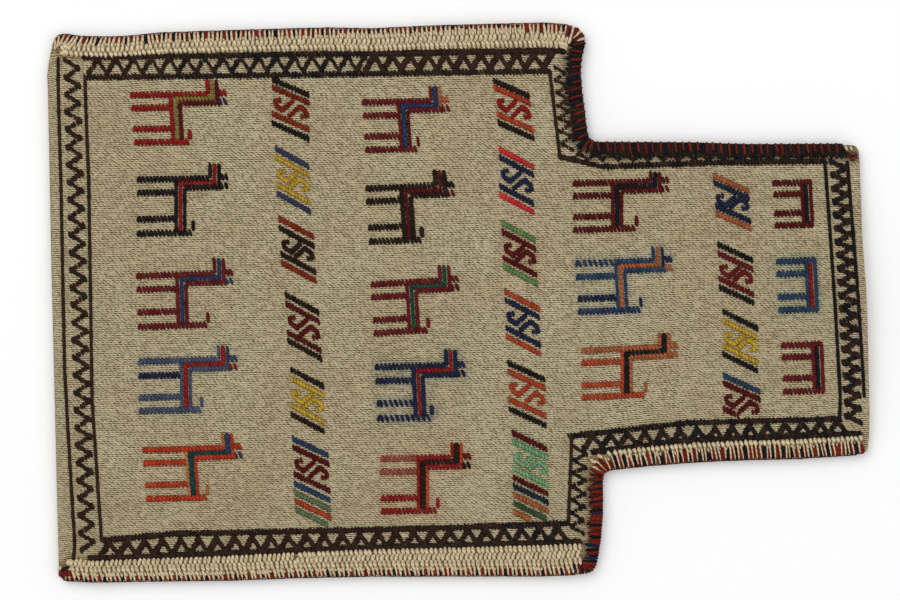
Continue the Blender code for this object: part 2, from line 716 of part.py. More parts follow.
def build_border(materials, surface):
    """The dark border: plain lines with a zigzag between them, worked as one run of yarn."""
    bars = []
    for line in BORDER_LINES:
        chain = [Vector(line[0])]
        for a, b in zip(line, line[1:]):
            pieces = max(1, round((Vector(b) - Vector(a)).length / LINE_STEP))
            chain += [Vector(a).lerp(Vector(b), (k + 1) / pieces) for k in range(pieces)]
        bars.append(strip(chain, BORDER_LINE_WIDTH, 0))
    for start, end, half_height, pitch in ZIGZAGS:
        bars.append(strip(zigzag_points(start, end, half_height, pitch), ZIGZAG_WIDTH, 0))
    return build_relief("border", bars, ("umber",), materials, surface, BORDER_HEIGHT)


def path_stations(path, step):
    """Evenly spaced stations along a path, each with its inward normal."""
    path = [Vector(p) for p in path]
    stations = []
    for a, b in zip(path, path[1:]):
        pieces = max(1, round((b - a).length / step))
        for k in range(pieces):
            stations.append(a.lerp(b, k / pieces))
    stations.append(path[-1])
    result = []
    for i, spot in enumerate(stations):
        before = stations[max(0, i - 1)]
        after = stations[min(len(stations) - 1, i + 1)]
        along = (after - before).normalized()
        result.append((spot, Vector((along.y, -along.x))))
    return result


def nearest_point(plan, corner):
    """Number of the outline point that lies nearest to a corner."""
    goal = Vector(corner[:2])
    distances = [(spot - goal).length for spot in plan.outline]
    return distances.index(min(distances))


def edge_path(plan, start, end, trim_start, trim_end):
    """The part of the cloth outline between two corner numbers, shortened at both ends."""
    i = nearest_point(plan, CLOTH_CORNERS[start])
    stop = nearest_point(plan, CLOTH_CORNERS[end])
    path = [plan.outline[i]]
    while i != stop:
        i = (i + 1) % len(plan.outline)
        path.append(plan.outline[i])
    path = shorten(path, trim_start)
    path = shorten(path[::-1], trim_end)[::-1]
    return path


def shorten(path, length):
    """Cut a length off the start of a path."""
    path = [spot.copy() for spot in path]
    while length > 0.0 and len(path) > 1:
        first = (path[1] - path[0]).length
        if first > length:
            path[0] = path[0].lerp(path[1], length / first)
            return path
        length -= first
        path.pop(0)
    return path


def build_binding(name, path, profile, widths, colour, materials, surface):
    """A binding that clasps the edge of the cloth: over the front, round the edge and under the back.

    profile holds (distance in from the edge, height over the cloth) from the inner end to the edge.
    widths says how much wider than the profile the binding is where the path starts and ends.
    """
    back_reach = BACK_REACH
    stations = path_stations(path, BINDING_STEP)
    rings = []
    for number, (spot, inward) in enumerate(stations):
        ring = []
        share = number / (len(stations) - 1)
        width = widths[0] + (widths[1] - widths[0]) * share
        reach = profile[0][0] * width
        edge = spot + inward * 0.4
        edge_top = surface.front(edge.x, edge.y) + 0.15
        edge_back = surface.back(edge.x, edge.y)

        def add(distance, z):
            plan_spot = spot + inward * distance
            ring.append((plan_spot.x, plan_spot.y, z))

        def front(distance):
            probe = spot + inward * max(0.4, distance)
            return surface.front(probe.x, probe.y) + 0.7 * surface.bend(probe.x, probe.y) + 0.12

        def back(distance):
            probe = spot + inward * max(0.4, distance)
            return surface.back(probe.x, probe.y)

        for distance, height in profile:
            add(distance * width, front(distance * width) + CLEARANCE + height)
        crown = edge_top + CLEARANCE + profile[-1][1]
        base = edge_back - CLEARANCE - BINDING_OUT * 0.85
        outer = -(CLEARANCE + BINDING_OUT)
        add(outer * 0.9, crown * 0.75 + base * 0.25)
        add(outer * 0.9, base * 0.75 + crown * 0.25)
        add(0.0, base)
        add(back_reach, back(back_reach) - CLEARANCE - 0.8)
        add(back_reach, back(back_reach) - CLEARANCE)
        add(-CLEARANCE, edge_back - CLEARANCE)
        add(-CLEARANCE, edge_top + CLEARANCE)
        add(reach * 0.5, front(reach * 0.5) + CLEARANCE)
        add(reach, front(reach) + CLEARANCE)
        rings.append(ring)
    size = len(rings[0])
    vertices = [point for ring in rings for point in ring]
    faces = []
    for i in range(len(rings) - 1):
        for k in range(size):
            following = (k + 1) % size
            faces.append(
                (
                    i * size + k,
                    i * size + following,
                    (i + 1) * size + following,
                    (i + 1) * size + k,
                )
            )
    faces.append(tuple(range(size))[::-1])
    faces.append(tuple((len(rings) - 1) * size + k for k in range(size)))
    return mesh_object(name, vertices, faces, [materials[colour]])


# Cross-sections of the bindings, from the inner end to the edge of the cloth.
SELVEDGE_PROFILE = [
    (SELVEDGE_REACH, 0.5),
    (SELVEDGE_REACH - 2.2, 1.4),
    (SELVEDGE_REACH - 4.4, 0.6),
    (SELVEDGE_REACH - 6.6, 1.4),
    (SELVEDGE_REACH - 8.6, 0.6),
    (1.5, 1.6),
]
SEAM_PROFILE = [
    (SEAM_REACH, 0.5),
    (SEAM_REACH - 2.0, 1.2),
    (SEAM_REACH * 0.35, 1.5),
    (0.5, 1.4),
]
NECK_SEAM_PROFILE = [
    (6.6, 0.4),
    (5.4, 0.9),
    (3.0, 1.4),
    (0.5, 1.3),
]


def build_bindings(plan, materials, surface):
    """Wrapped selvedges along the sides and overcast seams round the shoulders and neck."""
    pieces = [
        ("selvedge_top", 0, 3, 6.0, 15.0, SELVEDGE_PROFILE, (0.83, 0.99), "cream"),
        ("shoulder_seam_top", 3, 4, 0.0, 13.0, SEAM_PROFILE, (1.0, 1.0), "umber"),
        ("neck_seam_top", 4, 6, 5.0, 20.0, NECK_SEAM_PROFILE, (1.0, 1.0), "umber"),
        ("selvedge_neck", 9, 11, 6.0, 6.0, SELVEDGE_PROFILE, (0.79, 0.72), "cream"),
        ("shoulder_seam_bottom", 11, 13, 20.0, 9.0, SEAM_PROFILE, (0.95, 0.95), "red"),
        ("selvedge_bottom", 13, 16, 9.0, 5.0, SELVEDGE_PROFILE, (1.40, 0.72), "cream"),
    ]
    for name, start, end, trim_start, trim_end, profile, widths, colour in pieces:
        path = edge_path(plan, start, end, trim_start, trim_end)
        build_binding(name, path, profile, widths, colour, materials, surface)


def rest_on_origin():
    """Bring the whole bag to rest over the origin."""
    items = [item for item in bpy.context.scene.objects if item.type == "MESH"]
    xs = [vertex.co.x for item in items for vertex in item.data.vertices]
    ys = [vertex.co.y for item in items for vertex in item.data.vertices]
    zs = [vertex.co.z for item in items for vertex in item.data.vertices]
    shift = Vector((-(min(xs) + max(xs)) / 2.0, -(min(ys) + max(ys)) / 2.0, -min(zs)))
    for item in items:
        for vertex in item.data.vertices:
            vertex.co += shift


def main():
    clear_scene()
    materials = {name: make_material(name, colour) for name, colour in COLOURS.items()}
    plan = Plan()
    cloth = build_cloth(plan, materials)
    surface = Surface(cloth)
    build_bindings(plan, materials, surface)
    build_border(materials, surface)
    for name, values in GOATS.items():
        build_goat(name, values, materials, surface)
    for name, values in FIGURES.items():
        build_figure(name, values, materials, surface)
    for name, values in HOOKS.items():
        build_hook(name, values, materials, surface)
    rest_on_origin()


main()
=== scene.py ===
"""Looks of the flat-woven neck bag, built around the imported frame.

Plan measures are in millimetres from the middle of the plan, as in the part, and MM scales them.
The mouth is towards +X, and +Y is up in the photograph.
"""

import math
import random

import bpy
import numpy as np
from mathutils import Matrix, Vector
from mathutils.bvhtree import BVHTree
from mathutils.kdtree import KDTree


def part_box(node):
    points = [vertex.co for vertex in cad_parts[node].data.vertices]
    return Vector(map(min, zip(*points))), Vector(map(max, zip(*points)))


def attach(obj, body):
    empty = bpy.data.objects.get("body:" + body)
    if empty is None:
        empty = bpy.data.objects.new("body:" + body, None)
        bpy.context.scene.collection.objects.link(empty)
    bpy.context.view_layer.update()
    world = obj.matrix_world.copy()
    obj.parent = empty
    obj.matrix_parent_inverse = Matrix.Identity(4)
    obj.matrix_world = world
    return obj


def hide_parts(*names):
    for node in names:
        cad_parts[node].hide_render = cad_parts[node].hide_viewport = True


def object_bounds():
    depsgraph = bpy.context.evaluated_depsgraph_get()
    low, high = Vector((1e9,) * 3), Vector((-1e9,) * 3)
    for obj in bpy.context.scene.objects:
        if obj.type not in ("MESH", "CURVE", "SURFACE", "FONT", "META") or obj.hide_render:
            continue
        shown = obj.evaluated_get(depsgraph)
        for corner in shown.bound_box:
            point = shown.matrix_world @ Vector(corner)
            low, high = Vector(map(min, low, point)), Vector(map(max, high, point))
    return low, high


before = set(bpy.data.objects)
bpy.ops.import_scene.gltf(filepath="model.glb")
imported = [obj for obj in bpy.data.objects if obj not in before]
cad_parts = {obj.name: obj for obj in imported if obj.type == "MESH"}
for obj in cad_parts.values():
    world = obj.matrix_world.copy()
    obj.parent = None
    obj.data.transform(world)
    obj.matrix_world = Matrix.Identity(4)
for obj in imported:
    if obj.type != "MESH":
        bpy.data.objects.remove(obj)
CAD_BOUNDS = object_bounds()

MM = 0.001
SEED = 11

# Where the cloth's plan ends towards +X and +Y. The frame says where that lies in metres.
CLOTH_REACH_X = 287.78
CLOTH_REACH_Y = 186.47
CLOTH_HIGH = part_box("cloth")[1]
SHIFT_X = CLOTH_HIGH.x / MM - CLOTH_REACH_X
SHIFT_Y = CLOTH_HIGH.y / MM - CLOTH_REACH_Y

# Camera, floor and lamps: the width of the picture and what a pixel covers, then name, place, energy, size.
PICTURE_WIDTH = 900
PICTURE_MM = 0.685
LENS = 110.0
SENSOR = 36.0
CAMERA_BASE = 0.014
FLOOR_HALF = 6.0
FLOOR_GAP = 0.0004
FLOOR_SHADE = 0.93
WORLD_STRENGTH = 0.62
LAMPS = [
    ("key", (-0.9, 1.3, 2.6), 40.0, 2.4),
    ("fill", (1.4, -1.0, 2.8), 24.0, 3.0),
]

# Cloth: ribs, the steps of its grids, its thickness and the fold.
RIB_PITCH = 1.45
RIB_RISE = 0.17
SLUB_SHARE = 0.6
SLUB_RISE = 0.04
PICK_LENGTH = 1.65
COLUMN_STEP = 3.4
BACK_STEP = 16.0
INSIDE_STEP = 9.0
INSIDE_RIBS = 6.0
EDGE_STEP = 3.0
FACE_SINK = 0.05
CLOTH_THICKNESS = 1.9
FOLD_RADIUS = 4.2
FOLD_STEPS = 7
# The lips at the mouth (share of the thickness, way out) and the side edges (way out, share of height).
LIP_PROFILE = ((0.25, 0.35), (0.75, 0.35), (1.0, 0.0))
EDGE_PROFILE = ((-1.0, 1.0), (0.0, 1.0), (0.55, 0.5), (0.0, 0.0), (-1.0, 0.0))
# The body's three zones of rows, below, beside and above the neck, and where the grid is measured.
ZONE_HEIGHTS = (74.0, 216.0, 77.0)
BODY_LENGTH = 368.0
NECK_LENGTH = 183.0
BODY_MIDDLE_X = -80.0
SHOULDER_X = 97.0
MOUTH_X = 283.0
NECK_LOW_AT_FOLD = (-268.0, -124.0)
NECK_HIGH_AT_FOLD = (-273.0, 100.5)

# Dark dashes of painted shade in the hollows between the ribs: how many in a pick, their step and drift from
# row to row, and their slant.
DASHES_A_PICK = 0.56
DASH_STEP = 0.42
DASH_DRIFT = 1.0
DASH_SLANT = 0.3
GROUND_WARM = (0.505, 0.403, 0.228)
GROUND_PALE = (0.675, 0.602, 0.400)
# Painted shade for the hollows between the ribs.
GROUND_GAP_SHADE = (0.060, 0.034, 0.014)
GROUND_DARK = (0.12, 0.08, 0.04)
# Noise in the ground and the wool: its scale, its stretch and its detail.
GRAIN_NOISE = (1100.0, (0.6, 1.3, 1.0), 2.0)
PIT_NOISE = (1100.0, (0.5, 1.3, 1.0), 1.0)
TONE_NOISE = (26.0, (1.0, 1.0, 1.0), 4.0)
FIBRE_NOISE = (1500.0, (1.0, 1.0, 1.0), 2.0)
PATCH_NOISE = (120.0, (1.0, 1.0, 1.0), 2.0)
ROUGHNESS = 0.95
SPECULAR = 0.08
# How much each of these varies, and what it varies from.
DASH_SWELL = (0.45, 0.7)
DASH_SPECK = (0.6, 0.62)
GRAIN_CONTRAST = (1.7, 0.10)
# The groove's contrast is painted shade in the grooves between the yarn's plies.
GROOVE_SHADE_CONTRAST = (0.18, 0.86)
FLECK_CONTRAST = (0.5, 0.75)
# Where the noise of the pits starts and ends to darken the ground, and how much.
PIT_RANGE = (0.53, 0.68)
PIT_SHARE = 0.5
PATCH_SHARE = 0.6
# Fine relief: its strength, and its depth in metres.
GROUND_RELIEF = (0.55, 0.0004)
WOOL_RELIEF = (0.6, 0.0003)

# Wool stitches.
RUN_PITCH = 2.6
RUN_HEIGHT = 4.6
RUN_SLANT = 2.0
STITCH_WIDTH = 2.35
STITCH_HEIGHT = 1.6
LINE_WIDTH = 2.6
LINE_STEP = 3.1
LINE_OVERLAP = 0.9
BAR_PITCH = 2.4
HOOK_PITCH = 2.0
STITCH_SIDES = 6
STITCH_RINGS = 5

# Dyed wool, as linear red, green and blue.
WOOL = {
    "cream": (0.63, 0.51, 0.32),
    "umber": (0.019, 0.010, 0.007),
    "bark": (0.028, 0.015, 0.009),
    "black": (0.011, 0.0085, 0.008),
    "ink": (0.008, 0.0085, 0.012),
    "navy": (0.0115, 0.016, 0.042),
    "blue": (0.019, 0.042, 0.088),
    "steel": (0.050, 0.066, 0.108),
    "slate": (0.032, 0.038, 0.078),
    "royal": (0.016, 0.032, 0.085),
    "teal": (0.008, 0.040, 0.040),
    "pine": (0.013, 0.050, 0.032),
    "green": (0.098, 0.200, 0.065),
    "moss": (0.040, 0.068, 0.030),
    "mint": (0.150, 0.300, 0.155),
    "sage": (0.105, 0.145, 0.072),
    "olive": (0.190, 0.145, 0.030),
    "maroon": (0.080, 0.0065, 0.0065),
    "crimson": (0.112, 0.0085, 0.0100),
    "red": (0.215, 0.0095, 0.0090),
    "rose": (0.260, 0.062, 0.045),
    "brick": (0.150, 0.015, 0.006),
    "pink": (0.530, 0.024, 0.030),
    "rust": (0.190, 0.022, 0.007),
    "orange": (0.350, 0.046, 0.016),
    "apricot": (0.320, 0.090, 0.034),
    "vermilion": (0.370, 0.036, 0.012),
    "tan": (0.340, 0.125, 0.045),
    "gold": (0.420, 0.265, 0.027),
}
# How far the shades of single stitches differ.
WOOL_VARY = 0.28
CREAM_VARY = 0.14
# Turns of the yarn in a centimetre, and its plies.
PLY_TURNS = 3.2
PLIES = 2.0

# Goats, each after the end of its node's name: tip of the upper leg (x, y), drops to the next three legs,
# where the first body stripe and the first ear stand, ear height, how far the lowest leg runs on to the
# tail, lean of the rows, rise of the runs, outline, core and muzzle colours.
GOATS = {
    "a1": (-218.1, 140.4, 8.9, 14.4, 9.2, 26.3, 52.3, 9.6, 37.5, 0.08, 0.012, "red", "olive", "navy"),
    "a2": (-213.3, 82.5, 9.1, 18.1, 9.9, 25.8, 49.0, 9.8, 37.4, 0.00, 0.015, "black", "red", "black"),
    "a3": (-213.7, 16.4, 9.3, 15.6, 9.9, 26.8, 52.6, 10.1, 46.9, 0.03, 0.030, "crimson", "royal", "royal"),
    "a4": (-212.4, -42.3, 9.8, 14.8, 9.2, 28.3, 54.1, 9.0, 41.6, 0.02, 0.028, "steel", "red", "red"),
    "a5": (-209.4, -102.9, 8.9, 15.1, 9.5, 28.7, 54.3, 9.6, 41.1, 0.07, 0.029, "vermilion", "teal", "slate"),
    "b1": (-59.2, 135.4, 9.1, 14.4, 9.2, 23.8, 46.2, 9.7, 35.2, 0.07, 0.020, "crimson", "royal", "crimson"),
    "b2": (-56.9, 76.3, 8.9, 17.9, 9.5, 23.6, 47.2, 10.3, 35.2, 0.07, 0.037, "umber", "maroon", "maroon"),
    "b3": (-53.2, 10.5, 8.7, 15.7, 8.8, 23.6, 46.5, 9.9, 36.4, 0.06, 0.060, "crimson", "pine", "maroon"),
    "b4": (-50.3, -46.0, 9.5, 15.3, 10.3, 25.2, 47.9, 10.5, 36.2, 0.05, 0.021, "navy", "red", "navy"),
    "b5": (-46.6, -108.8, 9.1, 18.1, 8.9, 24.9, 48.1, 9.5, 37.7, 0.01, 0.018, "red", "umber", "black"),
    "c1": (85.4, 79.8, 8.6, 14.4, 8.9, 26.2, 52.3, 6.1, 42.3, 0.00, 0.030, "maroon", "ink", "maroon"),
    "c2": (86.9, 24.9, 9.2, 14.9, 8.9, 26.4, 52.6, 8.9, 41.9, 0.06, 0.038, "blue", "apricot", "apricot"),
    "c3": (91.0, -34.8, 8.5, 15.3, 8.2, 26.9, 52.5, 9.0, 42.6, 0.01, 0.048, "apricot", "black", "apricot"),
}
# Parts of the goats that were worked in another colour.
ODD_PARTS = {
    "a1": {"body_2": "maroon", "ear_2": "maroon", "neck": "maroon"},
    "a4": {"leg_2": "navy", "ear_2": "blue", "muzzle_1": "slate"},
    "a5": {"body_1": "tan", "ear_1": "apricot", "ear_core": "slate", "tail": "apricot"},
    "b1": {"ear_2": "apricot", "muzzle_1": "apricot", "body_2": "maroon"},
    "b5": {
        "leg_1": "rose",
        "leg_2": "rose",
        "body_2": "orange",
        "muzzle_1": "crimson",
        "ear_2": "vermilion",
    },
    "c2": {"leg_3": "navy", "ear_2": "navy", "muzzle_1": "navy", "leg_4": "royal", "tail": "navy"},
    "c3": {"leg_2": "orange", "leg_3": "orange", "leg_4": "orange", "body_1": "orange"},
}
# Widths of the outline and of the core, for goats worked in thicker or thinner wool.
LINE_WIDTHS = {
    "a1": (3.0, 2.4),
    "a4": (2.1, 3.1),
    "a5": (2.1, 3.7),
    "b1": (2.3, 3.5),
    "b2": (3.6, 2.2),
    "b4": (3.1, 2.2),
    "b5": (2.3, 4.0),
    "c1": (2.6, 3.3),
    "c2": (2.2, 2.8),
    "c3": (2.3, 3.7),
}
# Legs worked in stitches set wide apart.
SPARSE_LEGS = {"b4": ("leg_3", "leg_4"), "c2": ("leg_1",)}
SPARSE_PITCH = 3.5
# From a goat's first body stripe to its second and to its core, and the same for its ears.
BODY_GAP = 5.9
BODY_CORE = 2.95
EAR_GAP = 6.2
EAR_CORE = 3.1
# Four-legged figures at the mouth, named likewise: tip (x, y), three drops, first body stripe, lean, rise,
# outline and core colours.
FIGURES = {
    "d1": (222.4, 80.1, 7.9, 13.0, 8.2, 18.9, 0.04, 0.030, "maroon", "ink"),
    "d2": (224.3, 26.2, 8.6, 15.6, 8.9, 19.6, 0.05, 0.030, "blue", "red"),
    "d3": (228.0, -31.2, 8.2, 14.5, 9.0, 20.5, 0.05, 0.030, "crimson", "ink"),
}
# Hooked motifs, named likewise: start of the top bar (x, y), drops of the next three bars, length, slope,
# lean of the bar starts, then the colours of the outer top bar, inner top bar, hooks, inner bottom bar and
# outer bottom bar.
HOOKS = {
    "a1": (-122.3, 151.4, 5.3, 18.3, 6.3, 26.0, 0.43, 0.00, "black", "brick", "brick", "rust", "black"),
    "a2": (-120.1, 104.1, 6.0, 18.7, 6.1, 23.8, 0.55, 0.04, "slate", "gold", "gold", "gold", "slate"),
    "a3": (-117.5, 56.0, 6.5, 17.7, 6.1, 24.4, 0.53, 0.06, "rust", "umber", "umber", "umber", "rust"),
    "a4": (-113.2, 4.0, 6.3, 19.7, 5.6, 23.8, 0.54, 0.06, "umber", "maroon", "maroon", "maroon", "umber"),
    "a5": (-109.3, -47.3, 6.2, 18.4, 6.2, 23.2, 0.52, 0.01, "umber", "gold", "gold", "gold", "umber"),
    "a6": (-108.2, -94.8, 5.9, 18.3, 6.6, 25.2, 0.47, 0.04, "blue", "maroon", "maroon", "maroon", "blue"),
    "b1": (29.2, 150.7, 4.8, 18.4, 5.8, 25.4, 0.44, 0.12, "umber", "vermilion", "red", "orange", "umber"),
    "b2": (33.6, 103.3, 5.3, 19.7, 5.9, 24.0, 0.52, 0.00, "pink", "navy", "navy", "navy", "pink"),
    "b3": (34.9, 53.1, 6.0, 18.0, 6.1, 23.8, 0.52, 0.05, "green", "maroon", "maroon", "maroon", "green"),
    "b4": (37.1, 6.0, 5.7, 19.0, 5.9, 24.4, 0.51, 0.03, "orange", "navy", "navy", "navy", "orange"),
    "b5": (39.1, -42.9, 5.9, 19.0, 6.6, 26.2, 0.45, 0.03, "black", "orange", "orange", "orange", "black"),
    "b6": (42.4, -90.8, 5.9, 18.3, 6.4, 24.6, 0.48, 0.02, "maroon", "mint", "mint", "mint", "maroon"),
    "c1": (180.4, 85.3, 4.6, 16.1, 4.9, 24.8, 0.44, 0.06, "apricot", "navy", "navy", "navy", "apricot"),
    "c2": (183.0, 38.3, 6.2, 17.2, 5.8, 24.6, 0.46, 0.03, "black", "crimson", "crimson", "crimson", "black"),
    "c3": (186.5, -7.7, 6.3, 17.1, 5.6, 24.6, 0.49, 0.00, "black", "gold", "gold", "gold", "black"),
    "c4": (186.9, -51.6, 5.3, 17.4, 0.0, 26.0, 0.44, 0.00, "blue", "maroon", "maroon", "maroon", "maroon"),
}
# One hook, from its bar round to its tip (right, down), and the size of the stitches on each stretch.
HOOK_SHAPE = [(15.4, 2.2), (7.4, 12.9), (1.8, 11.4), (2.4, 8.6), (6.9, 6.0)]
HOOK_SIZES = [4.0, 4.4, 4.6, 3.6]
# Bars worked below the last hooked motif of a column: drop below its last bar, share of length, colour.
EXTRA_BARS = {
    "a6": [(6.2, 1.0, "sage"), (12.0, 1.0, "orange"), (17.9, 0.9, "sage")],
    "b6": [(5.8, 1.0, "navy"), (11.8, 1.0, "apricot"), (17.8, 0.94, "moss"), (23.6, 0.5, "apricot")],
}
LOW_BAR_SHARES = {"c4": 0.45}

# Border: plain lines along and across, and the zigzags between them.
LINES_ACROSS = [
    [(-269.5, 166.0), (-267.2, 82.0), (-264.5, -48.5), (-257.5, -168.5), (-259.0, -179.0)],
    [(-250.5, 153.0), (-247.7, 82.0), (-245.3, -68.5), (-239.0, -165.0)],
    [(68.5, 156.5), (75.5, 97.5)],
    [(257.4, 95.0), (267.5, -66.0), (267.5, -82.0)],
    [(273.0, 94.5), (284.0, -66.0)],
    [(83.6, -92.6), (81.3, -152.0)],
]
# Lines along: width of the stitches, then the points.
LINES_ALONG = [
    (2.1, [(-252.0, 166.5), (-100.0, 168.5), (-60.0, 169.0)]),
    (2.9, [(-60.0, 169.0), (78.0, 171.0)]),
    (2.1, [(-250.0, 152.7), (-100.0, 154.5), (68.5, 157.0)]),
    (2.2, [(75.3, 98.3), (105.0, 91.5), (180.0, 94.2), (257.8, 95.3)]),
    (2.3, [(81.8, -93.5), (164.0, -84.3), (267.6, -81.6)]),
    (2.7, [(97.8, -104.5), (162.0, -96.6), (281.5, -91.6)]),
    (2.4, [(-238.0, -165.0), (-189.0, -160.3), (-75.0, -158.2), (0.0, -156.2), (81.5, -153.2)]),
    (2.9, [(-247.0, -177.6), (-75.0, -170.6), (89.0, -166.0)]),
]
# Each zigzag: its two ends on the middle line, half height, pitch, length and width of its stitches.
ZIGZAGS = [
    ((-259.8, 165.0), (-248.9, -172.0), 4.6, 12.1, 3.5, 2.2),
    ((-248.0, 160.4), (-58.0, 162.7), 5.0, 12.2, 4.2, 2.1),
    ((-58.0, 162.7), (70.0, 164.2), 5.0, 12.2, 4.8, 3.0),
    ((75.4, 160.0), (80.6, 103.0), 3.6, 8.6, 2.6, 1.6),
    ((84.0, 98.4), (250.0, 98.8), 2.0, 10.4, 3.0, 2.0),
    ((266.6, 95.0), (277.0, -84.0), 4.8, 9.2, 4.0, 2.3),
    ((92.0, -97.6), (272.0, -87.2), 4.4, 12.0, 4.6, 2.8),
    ((89.6, -101.0), (87.0, -160.0), 4.2, 9.4, 2.9, 1.8),
    ((-240.0, -171.2), (80.0, -160.6), 4.8, 12.4, 4.9, 2.9),
]

# The border's wool is brown along the top up to the first of these and between the next two, and along the
# bottom up to the last. Elsewhere it is mixed.
BROWN_TOP_END = -190.0
BROWN_TOP_AGAIN = -60.0
BROWN_TOP_LAST = 90.0
BROWN_BOTTOM_END = 35.0
BORDER_SEED = 5
# Stitches of the lines across: their pitch, length, width and how far they lean to a side.
ROPE_PITCH = 3.2
ROPE_SIZE = 5.2
ROPE_WIDTH = 2.5
ROPE_SPREAD = 0.15
# Stitches of the lines along, and of the zigzags, whose stitches at the turns are larger.
ALONG_PITCH = 2.35
ALONG_HALF = (1.35, -2.1)
ZIGZAG_STEP = 2.1
ZIGZAG_HALF = (0.35, -0.94)
ZIGZAG_JOLT = 0.35
TURN_GROWTH = 1.2

# Outline of the cloth's plan, side by side, and the roundings of its outer corners.
TOP_EDGE = [
    (-272.2, 177.6), (-270.4, 180.2), (-265.0, 181.4), (-258.0, 180.2), (-251.0, 179.6), (-236.0, 179.4),
    (-222.0, 179.9), (-212.0, 181.0), (-198.7, 182.2), (-150.7, 183.8), (-84.0, 185.6), (-54.8, 185.0),
    (-6.9, 187.2), (41.0, 188.4), (65.0, 189.0), (80.0, 187.8), (87.6, 185.8), (91.2, 181.4),
]
SHOULDER_TOP = [
    (91.2, 181.4), (91.5, 175.5), (89.9, 170.0), (88.8, 163.0), (88.6, 155.0), (89.4, 144.0), (91.6, 127.0),
    (94.0, 107.4),
]
NECK_TOP = [(94.0, 107.4), (171.0, 107.0), (205.0, 105.8), (281.0, 106.2)]
MOUTH_EDGE = [
    (281.0, 106.2), (281.4, 93.0), (282.4, 41.0), (284.8, 7.0), (286.0, -27.0), (287.8, -85.0),
    (287.4, -103.8),
]
NECK_BOTTOM = [
    (104.0, -115.9), (137.0, -112.3), (171.0, -109.7), (205.5, -108.2), (240.0, -107.5), (287.4, -104.4),
]
SHOULDER_BOTTOM = [(99.0, -186.8), (102.6, -164.0), (103.9, -147.0), (104.0, -115.9)]
BOTTOM_EDGE = [
    (-269.6, -185.4), (-268.2, -189.4), (-264.0, -191.4), (-246.6, -192.5), (-198.7, -191.7),
    (-150.7, -191.2), (-102.8, -189.4), (-54.8, -188.4), (65.0, -188.2), (99.0, -186.8),
]
FOLD_EDGE = [
    (-269.2, -190.6), (-271.4, -96.0), (-274.8, 41.0), (-276.8, 150.0), (-277.4, 161.0), (-276.2, 172.0),
    (-274.0, 179.0),
]
EDGE_ROUNDING = 9.0
# Where the bindings change: the outer corners of the shoulders and the inner ones by the neck.
UPPER_CORNER_SPOT = (83.0, 187.6)
UPPER_CONCAVE_SPOT = (95.4, 109.6)
LOWER_CORNER_SPOT = (88.0, -187.4)
LOWER_CONCAVE_SPOT = (103.6, -118.5)
# Corner, direction along, direction across, radius.
ROUND_CORNERS = [
    ((-274.6, 181.8), (1.0, 0.0), (0.0, -1.0), 6.5),
    ((91.6, 187.4), (-1.0, 0.0), (0.0, -1.0), 7.0),
    ((99.6, -187.6), (-1.0, 0.0), (0.0, 1.0), 11.0),
    ((-269.6, -192.0), (1.0, 0.0), (0.0, 1.0), 6.0),
    ((281.4, 106.4), (-1.0, 0.0), (0.0, -1.0), 5.0),
    ((287.6, -104.8), (-1.0, 0.0), (0.0, 1.0), 3.6),
]

# Each selvedge: its full depth at both ends, depth of the outer fringe, widths of the cream strands and of
# the red and navy ones between them.
SELVEDGES = {
    "selvedge_top": ((12.8, 15.2), 5.8, 2.2, 2.5),
    "selvedge_bottom": ((13.4, 20.6), 5.2, 2.1, 2.3),
    "selvedge_neck": ((12.4, 11.8), 8.4, 1.45, 3.5),
}
# How deep the red and navy show, at places along the bag.
TIP_DEPTHS = {
    "selvedge_top": [
        (-270.0, 4.6), (-150.0, 5.6), (-85.0, 5.2), (-70.0, 2.6), (-20.0, 3.4), (10.0, 1.6), (44.0, 1.6),
        (52.0, 5.2), (90.0, 4.8),
    ],
    "selvedge_bottom": [(-265.0, 2.6), (-190.0, 3.0), (-60.0, 3.8), (90.0, 4.6)],
    "selvedge_neck": [(100.0, 7.6), (285.0, 8.2)],
}
# How far the inner ends of the outer strands are set back, at places along the bag.
STRAND_LEANS = {
    "selvedge_top": [(-272.0, -4.6), (-262.0, -4.0), (-235.0, -2.2), (-205.0, 0.0), (90.0, 0.4)],
    "selvedge_bottom": [(-265.0, -2.8), (-230.0, -1.6), (90.0, -1.2)],
    "selvedge_neck": [(100.0, -1.8), (285.0, -0.8)],
}
SELVEDGE_PITCH = 3.2
ROW_SIZE = 4.6
# A wrapped stitch from its inner end to its end under the back: share of the reach and rise on the front,
# share of the way out and of the height round the edge, share of the reach and drop under the back.
WRAP_FRONT = ((1.0, 0.1), (0.8, 0.75), (0.45, 1.0), (0.12, 1.0))
WRAP_RIM = ((0.75, 0.82), (1.0, 0.5), (0.75, 0.18))
WRAP_BACK = ((0.15, 0.75), (0.6, 0.7), (1.0, 0.0))
WRAP_WIDTHS = (0.45, 0.9, 1.0, 0.95, 0.9, 0.85, 0.85, 0.9, 0.8, 0.4)
WRAP_HEIGHTS = (0.5, 0.95, 1.0, 1.0, 1.0, 1.0, 1.0, 1.0, 0.8, 0.5)
WRAP_HEIGHT = 1.3
# A thin red stitch over the dark ones: share of its reach and lift, then its widths as shares, and heights.
RED_FRONT = ((1.0, 0.7), (0.75, 1.55), (0.4, 1.9), (0.08, 1.9))
RED_WIDTHS = (0.6, 1.2, 1.45, 1.4, 1.3, 1.2, 0.7)
RED_HEIGHTS = (0.6, 1.0, 1.0, 1.0, 0.9, 0.9, 0.5)
# How far strands reach under the back, and how far out and thick the thread on the very edge is.
UNDER_REACH = 6.2
CORD_OUT = 1.35
CORD_SIZE = 1.5
CORD_STEP = 4.0
DARK_PITCH = 1.75
BRIGHT_PITCH = 2.1
CORNER_KNOB = (-264.6, -187.0)
